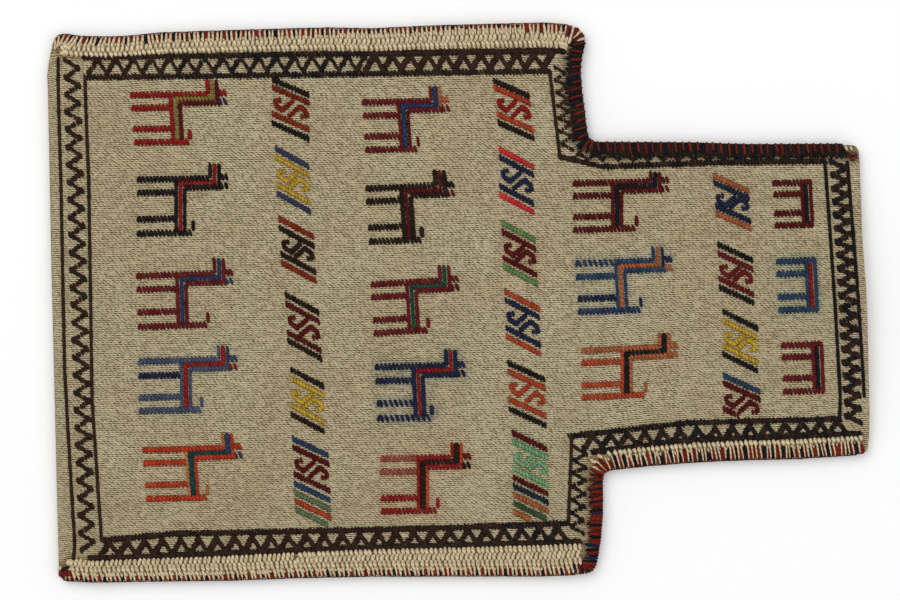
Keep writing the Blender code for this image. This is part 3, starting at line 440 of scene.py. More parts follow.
# Stray stitches by the upper corner of the mouth: start, end, colour.
MOUTH_STITCHES = [
    ((265.5, 106.0), (267.5, 98.5), "ink"),
    ((268.0, 106.0), (270.5, 98.0), "ink"),
    ((270.6, 104.8), (272.6, 97.6), "umber"),
    ((273.2, 101.6), (277.0, 97.8), "brick"),
    ((273.4, 99.4), (277.6, 99.0), "navy"),
    ((274.2, 97.6), (278.2, 96.6), "brick"),
    ((279.0, 101.0), (279.4, 97.2), "brick"),
    ((271.6, 106.4), (273.0, 102.4), "cream"),
    ((275.0, 106.0), (276.4, 102.6), "cream"),
]
# Dye that has run into the cloth, and painted shade on the cloth under and between the bindings' stitches:
# shade, strength, reach, wide reach.
DYE_BLEEDS_AND_SHADE = {
    "goat_b4": ((0.42, 0.60, 0.78), 0.5, 2.4, 5.0),
    "goat_c2": ((0.55, 0.72, 0.95), 0.45, 2.2, 4.0),
    "figure_d2": ((0.50, 0.74, 0.84), 0.5, 2.6, 6.0),
    "goat_b5": ((1.00, 0.55, 0.50), 0.3, 2.2, 3.6),
    "goat_a4": ((0.70, 0.82, 0.98), 0.35, 2.0, 3.5),
    "hook_b6": ((0.60, 0.86, 0.62), 0.35, 2.2, 4.0),
    "hook_b3": ((1.00, 0.72, 0.68), 0.3, 2.2, 4.0),
    # The bindings' entries are painted shade: they darken the cloth under and between their stitches.
    "selvedge_top": ((0.55, 0.40, 0.27), 0.9, 2.0, 2.6),
    "selvedge_bottom": ((0.55, 0.40, 0.27), 0.9, 2.0, 2.6),
    "selvedge_neck": ((0.55, 0.40, 0.27), 0.9, 2.0, 2.6),
    "shoulder_seam_top": ((0.30, 0.24, 0.20), 0.9, 2.4, 3.0),
    "neck_seam_top": ((0.30, 0.24, 0.20), 0.9, 2.4, 3.0),
    "shoulder_seam_bottom": ((0.30, 0.20, 0.16), 0.9, 2.4, 3.0),
}
# Points on the stitches of each node, kept to place the dye stains and painted shade round it.
MARKS = {}


def at(chain, key, axis=0):
    """The other coordinate of a chain of points where one coordinate is key."""
    other = 1 - axis
    points = sorted(chain, key=lambda point: point[axis])
    keys = [point[axis] for point in points]
    values = [point[other] for point in points]
    return float(np.interp(key, keys, values))


def blur(values, rounds):
    """Soften a height grid a little in both directions."""
    for _ in range(rounds):
        padded = np.pad(values, 1, mode="edge")
        values = (padded[:-2, 1:-1] + 2.0 * padded[1:-1, 1:-1] + padded[2:, 1:-1]) / 4.0
        padded = np.pad(values, 1, mode="edge")
        values = (padded[1:-1, :-2] + 2.0 * padded[1:-1, 1:-1] + padded[1:-1, 2:]) / 4.0
    return values


class HeightField:
    """Smooth heights of the front and back of the frame's cloth over its plan, in millimetres."""

    STEP = 4.0
    LOW_X = -300.0
    LOW_Y = -204.0
    COUNT_X = 151
    COUNT_Y = 103

    def __init__(self):
        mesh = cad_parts["cloth"].data
        tree = BVHTree.FromPolygons(
            [vertex.co for vertex in mesh.vertices], [polygon.vertices for polygon in mesh.polygons]
        )
        self.front_grid = self.measure(tree, 1.0, Vector((0.0, 0.0, -1.0)))
        self.back_grid = self.measure(tree, -1.0, Vector((0.0, 0.0, 1.0)))

    def measure(self, tree, start, direction):
        grid = np.full((self.COUNT_X, self.COUNT_Y), np.nan)
        for i in range(self.COUNT_X):
            for j in range(self.COUNT_Y):
                x = (self.LOW_X + i * self.STEP + SHIFT_X) * MM
                y = (self.LOW_Y + j * self.STEP + SHIFT_Y) * MM
                hit = tree.ray_cast(Vector((x, y, start)), direction)
                if hit[0] is not None:
                    grid[i, j] = hit[0].z / MM
        while np.isnan(grid).any():
            padded = np.pad(grid, 1, mode="edge")
            around = [padded[:-2, 1:-1], padded[2:, 1:-1], padded[1:-1, :-2], padded[1:-1, 2:]]
            counts = sum((~np.isnan(side)).astype(float) for side in around)
            total = sum(np.nan_to_num(side) for side in around)
            filled = total / np.maximum(counts, 1.0)
            grid = np.where(np.isnan(grid) & (counts > 0), filled, grid)
        return blur(grid, 3)

    def sample(self, grid, x, y):
        fx = np.clip((np.asarray(x) - self.LOW_X) / self.STEP, 0.0, self.COUNT_X - 1.001)
        fy = np.clip((np.asarray(y) - self.LOW_Y) / self.STEP, 0.0, self.COUNT_Y - 1.001)
        i = fx.astype(int)
        j = fy.astype(int)
        s = fx - i
        t = fy - j
        near = grid[i, j] * (1.0 - t) + grid[i, j + 1] * t
        far = grid[i + 1, j] * (1.0 - t) + grid[i + 1, j + 1] * t
        return near * (1.0 - s) + far * s

    def front(self, x, y):
        return self.sample(self.front_grid, x, y)

    def back(self, x, y):
        return self.sample(self.back_grid, x, y)


HEIGHTS = HeightField()


def link_mesh(name, vertices, faces, materials, slots=None, uvs=None):
    """A named object from plan vertices in millimetres."""
    mesh = bpy.data.meshes.new(name)
    points = np.asarray(vertices, float)
    points = (points + np.array((SHIFT_X, SHIFT_Y, 0.0))) * MM
    corners = np.asarray(faces, np.int32)
    count, sides = corners.shape
    mesh.vertices.add(len(points))
    mesh.vertices.foreach_set("co", points.astype(np.float32).ravel())
    mesh.loops.add(count * sides)
    mesh.loops.foreach_set("vertex_index", corners.ravel())
    mesh.polygons.add(count)
    mesh.polygons.foreach_set("loop_start", np.arange(0, count * sides, sides, dtype=np.int32))
    mesh.polygons.foreach_set("loop_total", np.full(count, sides, np.int32))
    for material in materials:
        mesh.materials.append(material)
    if slots is not None:
        mesh.polygons.foreach_set("material_index", np.asarray(slots, np.int32))
    if uvs is not None:
        layer = mesh.uv_layers.new(name="strand")
        layer.data.foreach_set("uv", np.asarray(uvs, np.float32)[corners.ravel()].ravel())
    mesh.polygons.foreach_set("use_smooth", np.full(count, True))
    mesh.update(calc_edges=True)
    mesh.validate()
    item = bpy.data.objects.new(name, mesh)
    bpy.context.scene.collection.objects.link(item)
    return item


class Wool:
    """Collects stitches of many colours into one mesh."""

    def __init__(self, seed):
        self.vertices = []
        self.uvs = []
        self.faces = []
        self.slots = []
        self.colours = []
        self.number = seed * 37 % 211
        self.random = random.Random(seed)

    def slot(self, colour):
        if colour not in self.colours:
            self.colours.append(colour)
        return self.colours.index(colour)

    def tube(self, path, widths, heights, colour):
        """A closed strand along a path of 3-D points."""
        path = np.asarray(path, float)
        rings = len(path)
        start = len(self.vertices)
        slot = self.slot(colour)
        self.number += 1
        steps = np.linalg.norm(np.diff(path, axis=0), axis=1)
        along = np.concatenate(([0.0], np.cumsum(steps)))
        for i in range(rings):
            ahead = path[min(rings - 1, i + 1)] - path[max(0, i - 1)]
            flat = math.hypot(ahead[0], ahead[1]) or 1.0
            across = np.array((-ahead[1] / flat, ahead[0] / flat, 0.0))
            forward = ahead / (np.linalg.norm(ahead) or 1.0)
            up = np.cross(forward, across)
            if up[2] < 0.0 and abs(forward[2]) < 0.7:
                up = -up
            for k in range(STITCH_SIDES):
                angle = 2.0 * math.pi * k / STITCH_SIDES
                side = across * math.cos(angle) * widths[i] / 2.0
                self.vertices.append(path[i] + (side + up * math.sin(angle) * heights[i] / 2.0))
                self.uvs.append((self.number * 10.0 + along[i] / 10.0, k / STITCH_SIDES))
        for i in range(rings - 1):
            for k in range(STITCH_SIDES):
                following = (k + 1) % STITCH_SIDES
                low = start + i * STITCH_SIDES
                high = low + STITCH_SIDES
                self.faces.append((low + k, high + k, high + following, low + following))
                self.slots.append(slot)
        for ring, flip in ((start, False), (start + (rings - 1) * STITCH_SIDES, True)):
            for quad in ((0, 1, 2, 3), (0, 3, 4, 5)):
                corners = tuple(ring + k for k in (quad[::-1] if flip else quad))
                self.faces.append(corners)
                self.slots.append(slot)

    def stitch(self, a, b, colour, width=STITCH_WIDTH, height=STITCH_HEIGHT, base=0.25, arch=0.45, drop=0.0):
        """One plump stitch from a to b in plan, its ends dipping into the cloth."""
        jitter = self.random.uniform
        a = (a[0] + jitter(-0.12, 0.12), a[1] + jitter(-0.12, 0.12))
        b = (b[0] + jitter(-0.12, 0.12), b[1] + jitter(-0.12, 0.12))
        width *= jitter(0.88, 1.12)
        path = []
        widths = []
        heights = []
        for i in range(STITCH_RINGS):
            t = i / (STITCH_RINGS - 1)
            x = a[0] + (b[0] - a[0]) * t
            y = a[1] + (b[1] - a[1]) * t
            rise = math.sin(math.pi * t)
            z = float(HEIGHTS.front(x, y)) + base + arch * rise - drop
            swell = 0.55 + 0.45 * rise**0.7
            path.append((x, y, z))
            widths.append(width * swell)
            heights.append(height * swell)
        self.tube(path, widths, heights, colour)

    def build(self, name):
        materials = [MATERIALS[colour] for colour in self.colours]
        return link_mesh(name, self.vertices, self.faces, materials, self.slots, self.uvs)


class Nodes:
    """A node material in the making, with short calls for the nodes it needs."""

    def __init__(self, name):
        self.material = bpy.data.materials.new(name)
        self.material.use_nodes = True
        self.tree = self.material.node_tree
        self.shader = self.tree.nodes["Principled BSDF"]
        self.shader.inputs["Roughness"].default_value = ROUGHNESS
        self.shader.inputs["Specular IOR Level"].default_value = SPECULAR

    def feed(self, socket, value):
        """Link a socket, or set it to a number or a colour."""
        if isinstance(value, (int, float)):
            socket.default_value = value
        elif isinstance(value, tuple):
            socket.default_value = (*value, 1.0)
        elif value is not None:
            self.tree.links.new(value, socket)

    def add(self, kind, *values, **settings):
        """A node with its settings and its first inputs."""
        node = self.tree.nodes.new("ShaderNode" + kind)
        for setting, value in settings.items():
            setattr(node, setting, value)
        for socket, value in zip(node.inputs, values):
            self.feed(socket, value)
        return node

    def math(self, operation, *values):
        return self.add("Math", *values, operation=operation).outputs[0]

    def mix(self, factor, first, second, blend="MIX"):
        node = self.add("Mix", data_type="RGBA", blend_type=blend)
        for index, value in ((0, factor), (6, first), (7, second)):
            self.feed(node.inputs[index], value)
        return node.outputs[2]

    def noise(self, scale, stretch, detail):
        """Noise in the object's own space."""
        mapping = self.add("Mapping", self.add("TexCoord").outputs["Object"])
        mapping.inputs["Scale"].default_value = stretch
        texture = self.add("TexNoise", mapping.outputs[0])
        texture.inputs["Scale"].default_value = scale
        texture.inputs["Detail"].default_value = detail
        return texture.outputs[0]

    def strand(self):
        """Both strand coordinates: along the yarn, and round it or across the ribs."""
        return self.add("SeparateXYZ", self.add("UVMap", uv_map="strand").outputs[0]).outputs[:2]

    def finish(self, colour, height, strength, distance):
        """Link the colour and the fine relief to the shader."""
        self.feed(self.shader.inputs["Base Color"], colour)
        bump = self.add("Bump")
        bump.inputs["Strength"].default_value = strength
        bump.inputs["Distance"].default_value = distance
        self.feed(bump.inputs["Height"], height)
        self.feed(self.shader.inputs["Normal"], bump.outputs[0])
        return self.material


def wool_material(name, colour, vary):
    """Hand-spun wool: each stitch has its own shade, with the twist of the yarn in its relief and as painted
    shade in the grooves between its plies, and loose fibres.
    """
    nodes = Nodes("wool_" + name)
    along, round_it = nodes.strand()
    number = nodes.math("FLOOR", nodes.math("MULTIPLY", along, 0.1))
    pick = nodes.add("TexWhiteNoise", None, number, noise_dimensions="1D").outputs["Value"]
    turn = nodes.math("MULTIPLY_ADD", along, PLY_TURNS, nodes.math("MULTIPLY", round_it, PLIES))
    wave = nodes.math("SINE", nodes.math("MULTIPLY", turn, 2.0 * math.pi))
    fibres = nodes.noise(*FIBRE_NOISE)
    light = tuple(min(1.0, channel * (1.0 + vary) + 0.003) for channel in colour)
    dark = tuple(channel * (1.0 - vary) for channel in colour)
    shade = nodes.mix(pick, dark, light)
    shade = nodes.mix(nodes.math("MULTIPLY", nodes.noise(*PATCH_NOISE), PATCH_SHARE), shade, colour)
    # Painted shade in the grooves between the plies of the twisted yarn.
    groove_shade = nodes.math("MULTIPLY_ADD", wave, *GROOVE_SHADE_CONTRAST)
    fleck = nodes.math("MULTIPLY_ADD", fibres, *FLECK_CONTRAST)
    tone = nodes.math("MULTIPLY", groove_shade, fleck)
    grey = nodes.add("CombineColor", tone, tone, tone).outputs[0]
    relief = nodes.math("MULTIPLY_ADD", wave, 0.5, fibres)
    return nodes.finish(nodes.mix(1.0, shade, grey, "MULTIPLY"), relief, *WOOL_RELIEF)


def ground_material():
    """Beige flatweave: pale ribs, short dark dashes of painted shade in the hollows between them, flecks,
    blurred dye stains and painted shade under the bindings.
    """
    nodes = Nodes("ground_cloth")
    along, across = nodes.strand()
    row = nodes.math("FLOOR", across)
    drift = nodes.add("TexWhiteNoise", None, row, noise_dimensions="1D").outputs["Value"]
    offset = nodes.math("MULTIPLY_ADD", row, DASH_STEP, nodes.math("MULTIPLY", drift, DASH_DRIFT))
    run = nodes.math("MULTIPLY_ADD", along, DASHES_A_PICK, offset)
    share = nodes.math("FRACT", run)
    slant = nodes.math("MULTIPLY_ADD", share, DASH_SLANT, -DASH_SLANT / 2.0)
    rib = nodes.math("MULTIPLY", nodes.math("ADD", across, slant), 2.0 * math.pi)
    # Painted shade in the hollows between the ribs, broken into dashes below.
    hollow_shade = nodes.math("MULTIPLY_ADD", nodes.math("COSINE", rib), -0.5, 0.5)
    cell = nodes.add("CombineXYZ", nodes.math("FLOOR", run), row).outputs[0]
    speck = nodes.add("TexWhiteNoise", cell, noise_dimensions="2D").outputs["Value"]
    swell = nodes.math("SINE", nodes.math("MULTIPLY", share, math.pi))
    swell = nodes.math("MULTIPLY_ADD", swell, *DASH_SWELL)
    dash = nodes.math("MULTIPLY", swell, nodes.math("MULTIPLY_ADD", speck, *DASH_SPECK))
    weave = nodes.math("SUBTRACT", 1.0, nodes.math("MULTIPLY", hollow_shade, dash))
    grain = nodes.math("MULTIPLY_ADD", nodes.noise(*GRAIN_NOISE), *GRAIN_CONTRAST)
    weave = nodes.math("MULTIPLY", weave, grain)
    light = nodes.mix(nodes.noise(*TONE_NOISE), GROUND_WARM, GROUND_PALE)
    base = nodes.mix(weave, GROUND_GAP_SHADE, light)
    pit = nodes.noise(*PIT_NOISE)
    pits = nodes.add("MapRange", pit, *PIT_RANGE).outputs[0]
    base = nodes.mix(nodes.math("MULTIPLY", pits, PIT_SHARE), base, GROUND_DARK)
    # Multiplied in: dye that has run from the figures, and painted shade under the bindings.
    dye_and_shade = nodes.add("VertexColor", layer_name="dye_and_shade")
    base = nodes.mix(dye_and_shade.outputs["Alpha"], base, dye_and_shade.outputs["Color"], "MULTIPLY")
    return nodes.finish(base, nodes.math("MULTIPLY_ADD", pit, 0.5, weave), *GROUND_RELIEF)


MATERIALS = {name: wool_material(name, colour, WOOL_VARY) for name, colour in WOOL.items() if name != "cream"}
MATERIALS["cream"] = wool_material("cream", WOOL["cream"], CREAM_VARY)
MATERIALS["ground"] = ground_material()


def soft_corner(x, y):
    """Pull plan points in so that the outer corners are round."""
    for (corner_x, corner_y), (along_x, _), (_, across_y), radius in ROUND_CORNERS:
        a = (x - corner_x) * along_x
        b = (y - corner_y) * across_y
        inside = (a < radius) & (b < radius) & (a > -3.0) & (b > -3.0)
        qa = np.clip(radius - a, 0.0, None)
        qb = np.clip(radius - b, 0.0, None)
        length = np.hypot(qa, qb) + 1e-9
        scale = np.maximum(qa, qb) / length
        x = np.where(inside, corner_x + (radius - qa * scale) * along_x, x)
        y = np.where(inside, corner_y + (radius - qb * scale) * across_y, y)
    return x, y


def zone_rows(step):
    """How many rows each zone of the body gets."""
    return [max(2, 2 * round(height / step / 2.0)) for height in ZONE_HEIGHTS]


def plan_point(zone, share, x):
    """y of a row at x, the rows following the lie of the cloth from edge to edge."""
    low = at(BOTTOM_EDGE, x)
    neck_low = at([NECK_LOW_AT_FOLD] + NECK_BOTTOM, x)
    neck_high = at([NECK_HIGH_AT_FOLD] + NECK_TOP, x)
    high = at(TOP_EDGE, x)
    levels = (low, neck_low, neck_high, high)
    return levels[zone] + (levels[zone + 1] - levels[zone]) * share


def woven_grid(row_step, column_step):
    """Plan grid of the bag, which points are there, and the rows that end at the mouth.

    The body's columns come first, then the neck's, which have the neck's rows only.
    """
    zones = zone_rows(row_step)
    rows = [(zone, k / count) for zone, count in enumerate(zones) for k in range(count)]
    rows.append((2, 1.0))
    mouth = slice(zones[0], zones[0] + zones[1] + 1)
    body_columns = max(2, round(BODY_LENGTH / column_step))
    neck_columns = max(2, round(NECK_LENGTH / column_step))
    xs = np.zeros((body_columns + neck_columns + 1, len(rows)))
    ys = np.zeros_like(xs)
    there = np.ones(xs.shape, bool)
    for j, (zone, share) in enumerate(rows):
        left = at(FOLD_EDGE, plan_point(zone, share, BODY_MIDDLE_X), 1) + FOLD_RADIUS
        if zone == 0:
            right_edge = SHOULDER_BOTTOM
        elif zone == 2 and share > 0.0:
            right_edge = SHOULDER_TOP
        else:
            right_edge = [NECK_BOTTOM[0], NECK_TOP[0]]
        right = at(right_edge, plan_point(zone, share, SHOULDER_X), 1)
        for i in range(body_columns + 1):
            x = left + (right - left) * i / body_columns
            xs[i, j] = x
            ys[i, j] = plan_point(zone, share, x)
        if not mouth.start <= j < mouth.stop:
            there[body_columns + 1 :, j] = False
            continue
        end = at(MOUTH_EDGE, plan_point(zone, share, MOUTH_X), 1)
        for i in range(1, neck_columns + 1):
            x = right + (end - right) * i / neck_columns
            xs[body_columns + i, j] = x
            ys[body_columns + i, j] = plan_point(zone, share, x)
    xs, ys = soft_corner(xs, ys)
    return xs, ys, there, mouth


def dye_and_shade_values(vertices):
    """Tint and strength of the run dye and of the painted shade under the bindings at each point of the
    cloth.
    """
    values = np.ones((len(vertices), 4), np.float32)
    values[:, 3] = 0.0
    for node, (shade, strength, near, far) in DYE_BLEEDS_AND_SHADE.items():
        marks = MARKS[node]
        tree = KDTree(len(marks))
        for index, mark in enumerate(marks):
            tree.insert((mark[0], mark[1], 0.0), index)
        tree.balance()
        low = np.min(marks, axis=0)[:2] - 2.0 * far
        high = np.max(marks, axis=0)[:2] + 2.0 * far
        inside = np.all((vertices[:, :2] > low) & (vertices[:, :2] < high), axis=1)
        for index in np.flatnonzero(inside):
            away = tree.find((vertices[index, 0], vertices[index, 1], 0.0))[2]
            amount = strength * (0.7 * math.exp(-((away / near) ** 2)) + 0.3 * math.exp(-((away / far) ** 2)))
            if amount > values[index, 3]:
                values[index] = (*shade, amount)
    return values


class ClothMesh:
    """Collects grids and strips of the woven cloth into one mesh."""

    def __init__(self):
        self.vertices = []
        self.uvs = []
        self.quads = []
        self.count = 0

    def points(self, *coordinates):
        """Add points from x, y, z and both strand coordinates, and give their numbers."""
        x, y, z, along, across = np.broadcast_arrays(*coordinates)
        self.vertices.append(np.stack([x, y, z], axis=1))
        self.uvs.append(np.stack([along, across], axis=1))
        self.count += len(x)
        return self.count - len(x) + np.arange(len(x))

    def grid(self, xs, ys, zs, there, up, ribs_a_row):
        """Add a plan grid that faces up or down, and give the numbers of its points."""
        numbers = np.full(xs.shape, -1, int)
        ribs = np.broadcast_to(np.arange(xs.shape[1]) * ribs_a_row, xs.shape)
        numbers[there] = self.points(xs[there], ys[there], zs[there], xs[there] / PICK_LENGTH, ribs[there])
        corners = np.stack([numbers[:-1, :-1], numbers[1:, :-1], numbers[1:, 1:], numbers[:-1, 1:]], axis=-1)
        quads = corners[(corners >= 0).all(axis=-1)]
        self.quads.append(quads if up else quads[:, ::-1])
        return numbers

    def strip(self, first, second, flip=False):
        """Quads between two rows of points."""
        quads = np.stack([second[:-1], first[:-1], first[1:], second[1:]], axis=1)
        self.quads.append(quads[:, ::-1] if flip else quads)

    def build(self, name):
        """The piece, with its dye stains and painted shade, tied to the frame."""
        vertices = np.concatenate(self.vertices)
        uvs = np.concatenate(self.uvs)
        item = link_mesh(name, vertices, np.concatenate(self.quads), [MATERIALS["ground"]], None, uvs)
        layer = item.data.color_attributes.new(name="dye_and_shade", type="FLOAT_COLOR", domain="POINT")
        layer.data.foreach_set("color", dye_and_shade_values(vertices).ravel())
        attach(item, "root")
        return item


def build_cloth():
    """The one woven cloth: finely ribbed front, the fold and the plainer back."""
    mesh = ClothMesh()
    xs, ys, there, _ = woven_grid(RIB_PITCH / 2.0, COLUMN_STEP)
    rng = np.random.default_rng(SEED)
    ridge = np.where(np.arange(xs.shape[1]) % 2 == 0, 0.0, -1.0)
    slubs = blur(rng.normal(0.0, 1.0, xs.shape), 1)
    relief = RIB_RISE * ridge * np.clip(1.0 + SLUB_SHARE * slubs, 0.1, 1.9) + SLUB_RISE * slubs
    front = mesh.grid(xs, ys, HEIGHTS.front(xs, ys) - FACE_SINK + relief, there, True, 0.5)
    top = HEIGHTS.front(xs[0], ys[0]) - FACE_SINK
    bottom = HEIGHTS.back(xs[0], ys[0]) + FACE_SINK
    previous = front[0]
    for k in range(1, FOLD_STEPS + 1):
        angle = math.pi * k / FOLD_STEPS
        x, y = soft_corner(xs[0] - (FOLD_RADIUS + RIB_RISE * ridge) * math.sin(angle), ys[0])
        z = (top + bottom) / 2.0 + (top - bottom) / 2.0 * math.cos(angle)
        ring = mesh.points(x, y, z, x / PICK_LENGTH - k * 1.1, np.arange(len(x)) * 0.5)
        mesh.strip(previous, ring)
        previous = ring
    xs, ys, there, _ = woven_grid(RIB_PITCH / 2.0, BACK_STEP)
    zs = HEIGHTS.back(xs, ys) + FACE_SINK - RIB_RISE * 0.6 * ridge
    back = mesh.grid(xs, ys, zs, there, False, 0.5)
    mesh.strip(previous, back[0])
    return mesh.build("cloth_weave")


def build_inside():
    """The inner faces of the cloth and its lips at the mouth."""
    mesh = ClothMesh()
    xs, ys, there, mouth = woven_grid(INSIDE_STEP, INSIDE_STEP)
    rim_x = xs[-1, mouth]
    rim_y = ys[-1, mouth]
    for surface, sign in ((HEIGHTS.front, 1.0), (HEIGHTS.back, -1.0)):
        zs = surface(xs, ys) - sign * CLOTH_THICKNESS
        previous = mesh.grid(xs, ys, zs, there, sign < 0.0, INSIDE_RIBS)[-1, mouth]
        height = surface(rim_x, rim_y) - sign * 0.1
        for share, out in LIP_PROFILE:
            z = height - sign * CLOTH_THICKNESS * (1.0 - share)
            ribs = np.arange(len(rim_x)) * INSIDE_RIBS
            ring = mesh.points(rim_x + out, rim_y, z, rim_x / PICK_LENGTH + share, ribs)
            mesh.strip(previous, ring, sign < 0.0)
            previous = ring
    return mesh.build("cloth_inside_face")


def chain_points(chain, step):
    """Evenly spaced points along a chain."""
    points = [Vector(point) for point in chain]
    lengths = [(b - a).length for a, b in zip(points, points[1:])]
    total = sum(lengths)
    count = max(1, round(total / step))
    result = []
    for i in range(count + 1):
        target = total * i / count
        for a, b, length in zip(points, points[1:], lengths):
            if target <= length + 1e-6:
                result.append(a.lerp(b, min(1.0, target / length)))
                break
            target -= length
    return result


def fillet(chain, radius):
    """A chain of points with its sharp corners rounded."""
    points = [Vector(point) for point in chain]
    result = [points[0]]
    for before, corner, after in zip(points, points[1:], points[2:]):
        back = before - corner
        ahead = after - corner
        turn = math.pi - back.angle(ahead)
        if turn < 0.5:
            result.append(corner)
            continue
        reach = min(radius * math.tan(turn / 2.0), back.length * 0.48, ahead.length * 0.48)
        start = corner + back.normalized() * reach
        end = corner + ahead.normalized() * reach
        for i in range(9):
            t = i / 8.0
            result.append(start * (1.0 - t) ** 2 + corner * 2.0 * t * (1.0 - t) + end * t**2)
    result.append(points[-1])
    return result


def part_of(chain, start, end):
    """The stretch of a chain between two lengths along it, in millimetres."""
    points = chain_points(chain, 1.0)
    last = len(points) - 1
    low = start if start >= 0 else last + start
    high = end if end > 0 else last + end
    return points[round(low) : round(high) + 1]


def heading(points, i):
    """Direction of a line of points at one of them."""
    return (points[min(len(points) - 1, i + 1)] - points[max(0, i - 1)]).normalized()


def edge_frame(chain, step, side):
    """Points along an edge, each with the directions inwards and along."""
    points = chain_points(chain, step)
    result = []
    for i, point in enumerate(points):
        along = heading(points, i)
        result.append((point, Vector((along.y, -along.x)) * side, along))
    return result


def length_to(chain, point):
    """How far along a chain its nearest place to a point lies, in millimetres."""
    away = [(place - Vector(point)).length for place in chain_points(chain, 1.0)]
    return float(away.index(min(away)))


UPPER_SIDE = fillet(TOP_EDGE + SHOULDER_TOP[1:] + NECK_TOP[1:], EDGE_ROUNDING)
LOWER_SIDE = fillet(BOTTOM_EDGE + SHOULDER_BOTTOM[1:] + NECK_BOTTOM[1:], EDGE_ROUNDING)
UPPER_CORNER = length_to(UPPER_SIDE, UPPER_CORNER_SPOT)
UPPER_CONCAVE = length_to(UPPER_SIDE, UPPER_CONCAVE_SPOT)
LOWER_CORNER = length_to(LOWER_SIDE, LOWER_CORNER_SPOT)
LOWER_CONCAVE = length_to(LOWER_SIDE, LOWER_CONCAVE_SPOT)


def build_edges():
    """The closed side edges, where front and back meet under the bindings."""
    mesh = ClothMesh()
    for chain, side in ((UPPER_SIDE, 1.0), (LOWER_SIDE, -1.0)):
        points = chain_points(chain, EDGE_STEP)
        xs, ys = soft_corner(np.array([point.x for point in points]), np.array([point.y for point in points]))
        spots = [Vector(spot) for spot in zip(xs, ys)]
        along = [heading(spots, i) for i in range(len(spots))]
        out_x = np.array([-direction.y * side for direction in along])
        out_y = np.array([direction.x * side for direction in along])
        top = HEIGHTS.front(xs, ys) - 0.2
        bottom = HEIGHTS.back(xs, ys) + 0.2
        previous = None
        for out, share in EDGE_PROFILE:
            z = bottom + (top - bottom) * share
            ring = mesh.points(xs + out_x * out, ys + out_y * out, z, xs / PICK_LENGTH, share * 3.0)
            if previous is not None:
                mesh.strip(previous, ring, side > 0.0)
            previous = ring
    return mesh.build("side_edges")


def local_frame(x, y, lean, rise):
    """Turns a figure's own measures (right, down) into plan points."""

    def place(right, down):
        return (x + right + lean * down, y - down + rise * right)

    return place


def run_along(wool, place, start, end, level, colour, tip=False, pitch=RUN_PITCH):
    """A row of slanted stitches along the figure's own horizontal."""
    count = max(1, round((end - start) / pitch))
    half = RUN_HEIGHT / 2.0
    for i in range(count):
        middle = start + (end - start) * (i + 0.5) / count
        slant = RUN_SLANT * wool.random.uniform(0.7, 1.1) / 2.0
        wool.stitch(place(middle - slant, level - half), place(middle + slant, level + half), colour)
    if tip:
        wool.stitch(place(start + 0.5, level - half + 0.2), place(start - 0.5, level + half - 0.3), colour)


def line_across(wool, place, right, top, bottom, colour, width=LINE_WIDTH):
    """A smooth wrapped line down the figure: long stitches that overlap like a rope."""
    count = max(1, round((bottom - top) / LINE_STEP))
    step = (bottom - top) / count
    for i in range(count):
        low = top + step * i - LINE_OVERLAP
        high = top + step * (i + 1) + LINE_OVERLAP
        wool.stitch(place(right - 0.3, low), place(right + 0.3, high), colour, width, 1.5, 0.3, 0.3)


def bar_between(wool, a, b, colour, pitch=BAR_PITCH, size=4.7):
    """A slanted bar made of short upright stitches, each a step further down."""
    a = Vector(a)
    b = Vector(b)
    count = max(1, round((b - a).length / pitch))
    for i in range(count):
        middle = a.lerp(b, (i + 0.5) / count)
        half = Vector((wool.random.uniform(0.1, 0.3), -0.98)) * size * wool.random.uniform(0.44, 0.56)
        wool.stitch(middle - half, middle + half, colour, 2.15)


def seed_of(name):
    """A figure's own seed, from the letters of its name."""
    return sum(ord(letter) for letter in name)


def build_goat(key, values):
    """A goat: legs, back, two body stripes with a core between them, neck, ears, muzzle and tail."""
    x, y, drop_2, drop_3, drop_4, body, ear, ear_height, tail, lean, rise, outline, core, muzzle = values
    name = "goat_" + key
    place = local_frame(x, y, lean, rise)
    wool = Wool(seed_of(name))
    leg_3 = drop_2 + drop_3
    leg_4 = leg_3 + drop_4
    shades = ODD_PARTS.get(key, {})
    width, core_width = LINE_WIDTHS.get(key, (LINE_WIDTH, LINE_WIDTH))

    def run(part, start, end, level, tip=False):
        pitch = SPARSE_PITCH if part in SPARSE_LEGS.get(key, ()) else RUN_PITCH
        run_along(wool, place, start, end, level, shades.get(part, outline), tip, pitch)

    def stripe(part, right, top, bottom):
        line_across(wool, place, right, top, bottom, shades.get(part, outline), width)

    run("leg_1", 0.0, body - 0.9, 0.0, True)
    run("leg_2", 0.0, body - 0.9, drop_2, True)
    run("leg_3", 0.0, body - 0.9, leg_3, True)
    run("leg_4", 0.0, tail - 0.6, leg_4, True)
    run("back", body - 0.9, ear - 0.6, 0.0)
    stripe("tail", tail + 0.2, leg_4 - 7.6, leg_4 - 2.4)
    stripe("body_1", body, 1.6, leg_4 - 1.6)
    stripe("body_2", body + BODY_GAP, 7.4, leg_4 - 1.6)
    run("neck", body + 5.6, ear + 7.6, 5.9)
    stripe("ear_1", ear, -ear_height, -1.2)
    stripe("ear_2", ear + EAR_GAP, -ear_height + 0.6, 4.6)
    run("muzzle_1", ear + 7.4, ear + 12.6, -0.7)
    line_across(wool, place, body + BODY_CORE, 2.6, leg_4 - 1.8, core, core_width)
    run_along(wool, place, body + 3.6, ear + 2.4, 2.9, core)
    ear_core = shades.get("ear_core", core)
    line_across(wool, place, ear + EAR_CORE, -ear_height + 0.4, 3.4, ear_core, core_width)
    run_along(wool, place, ear + 6.4, ear + 12.8, 5.2, muzzle)
    finish_piece(wool, name)


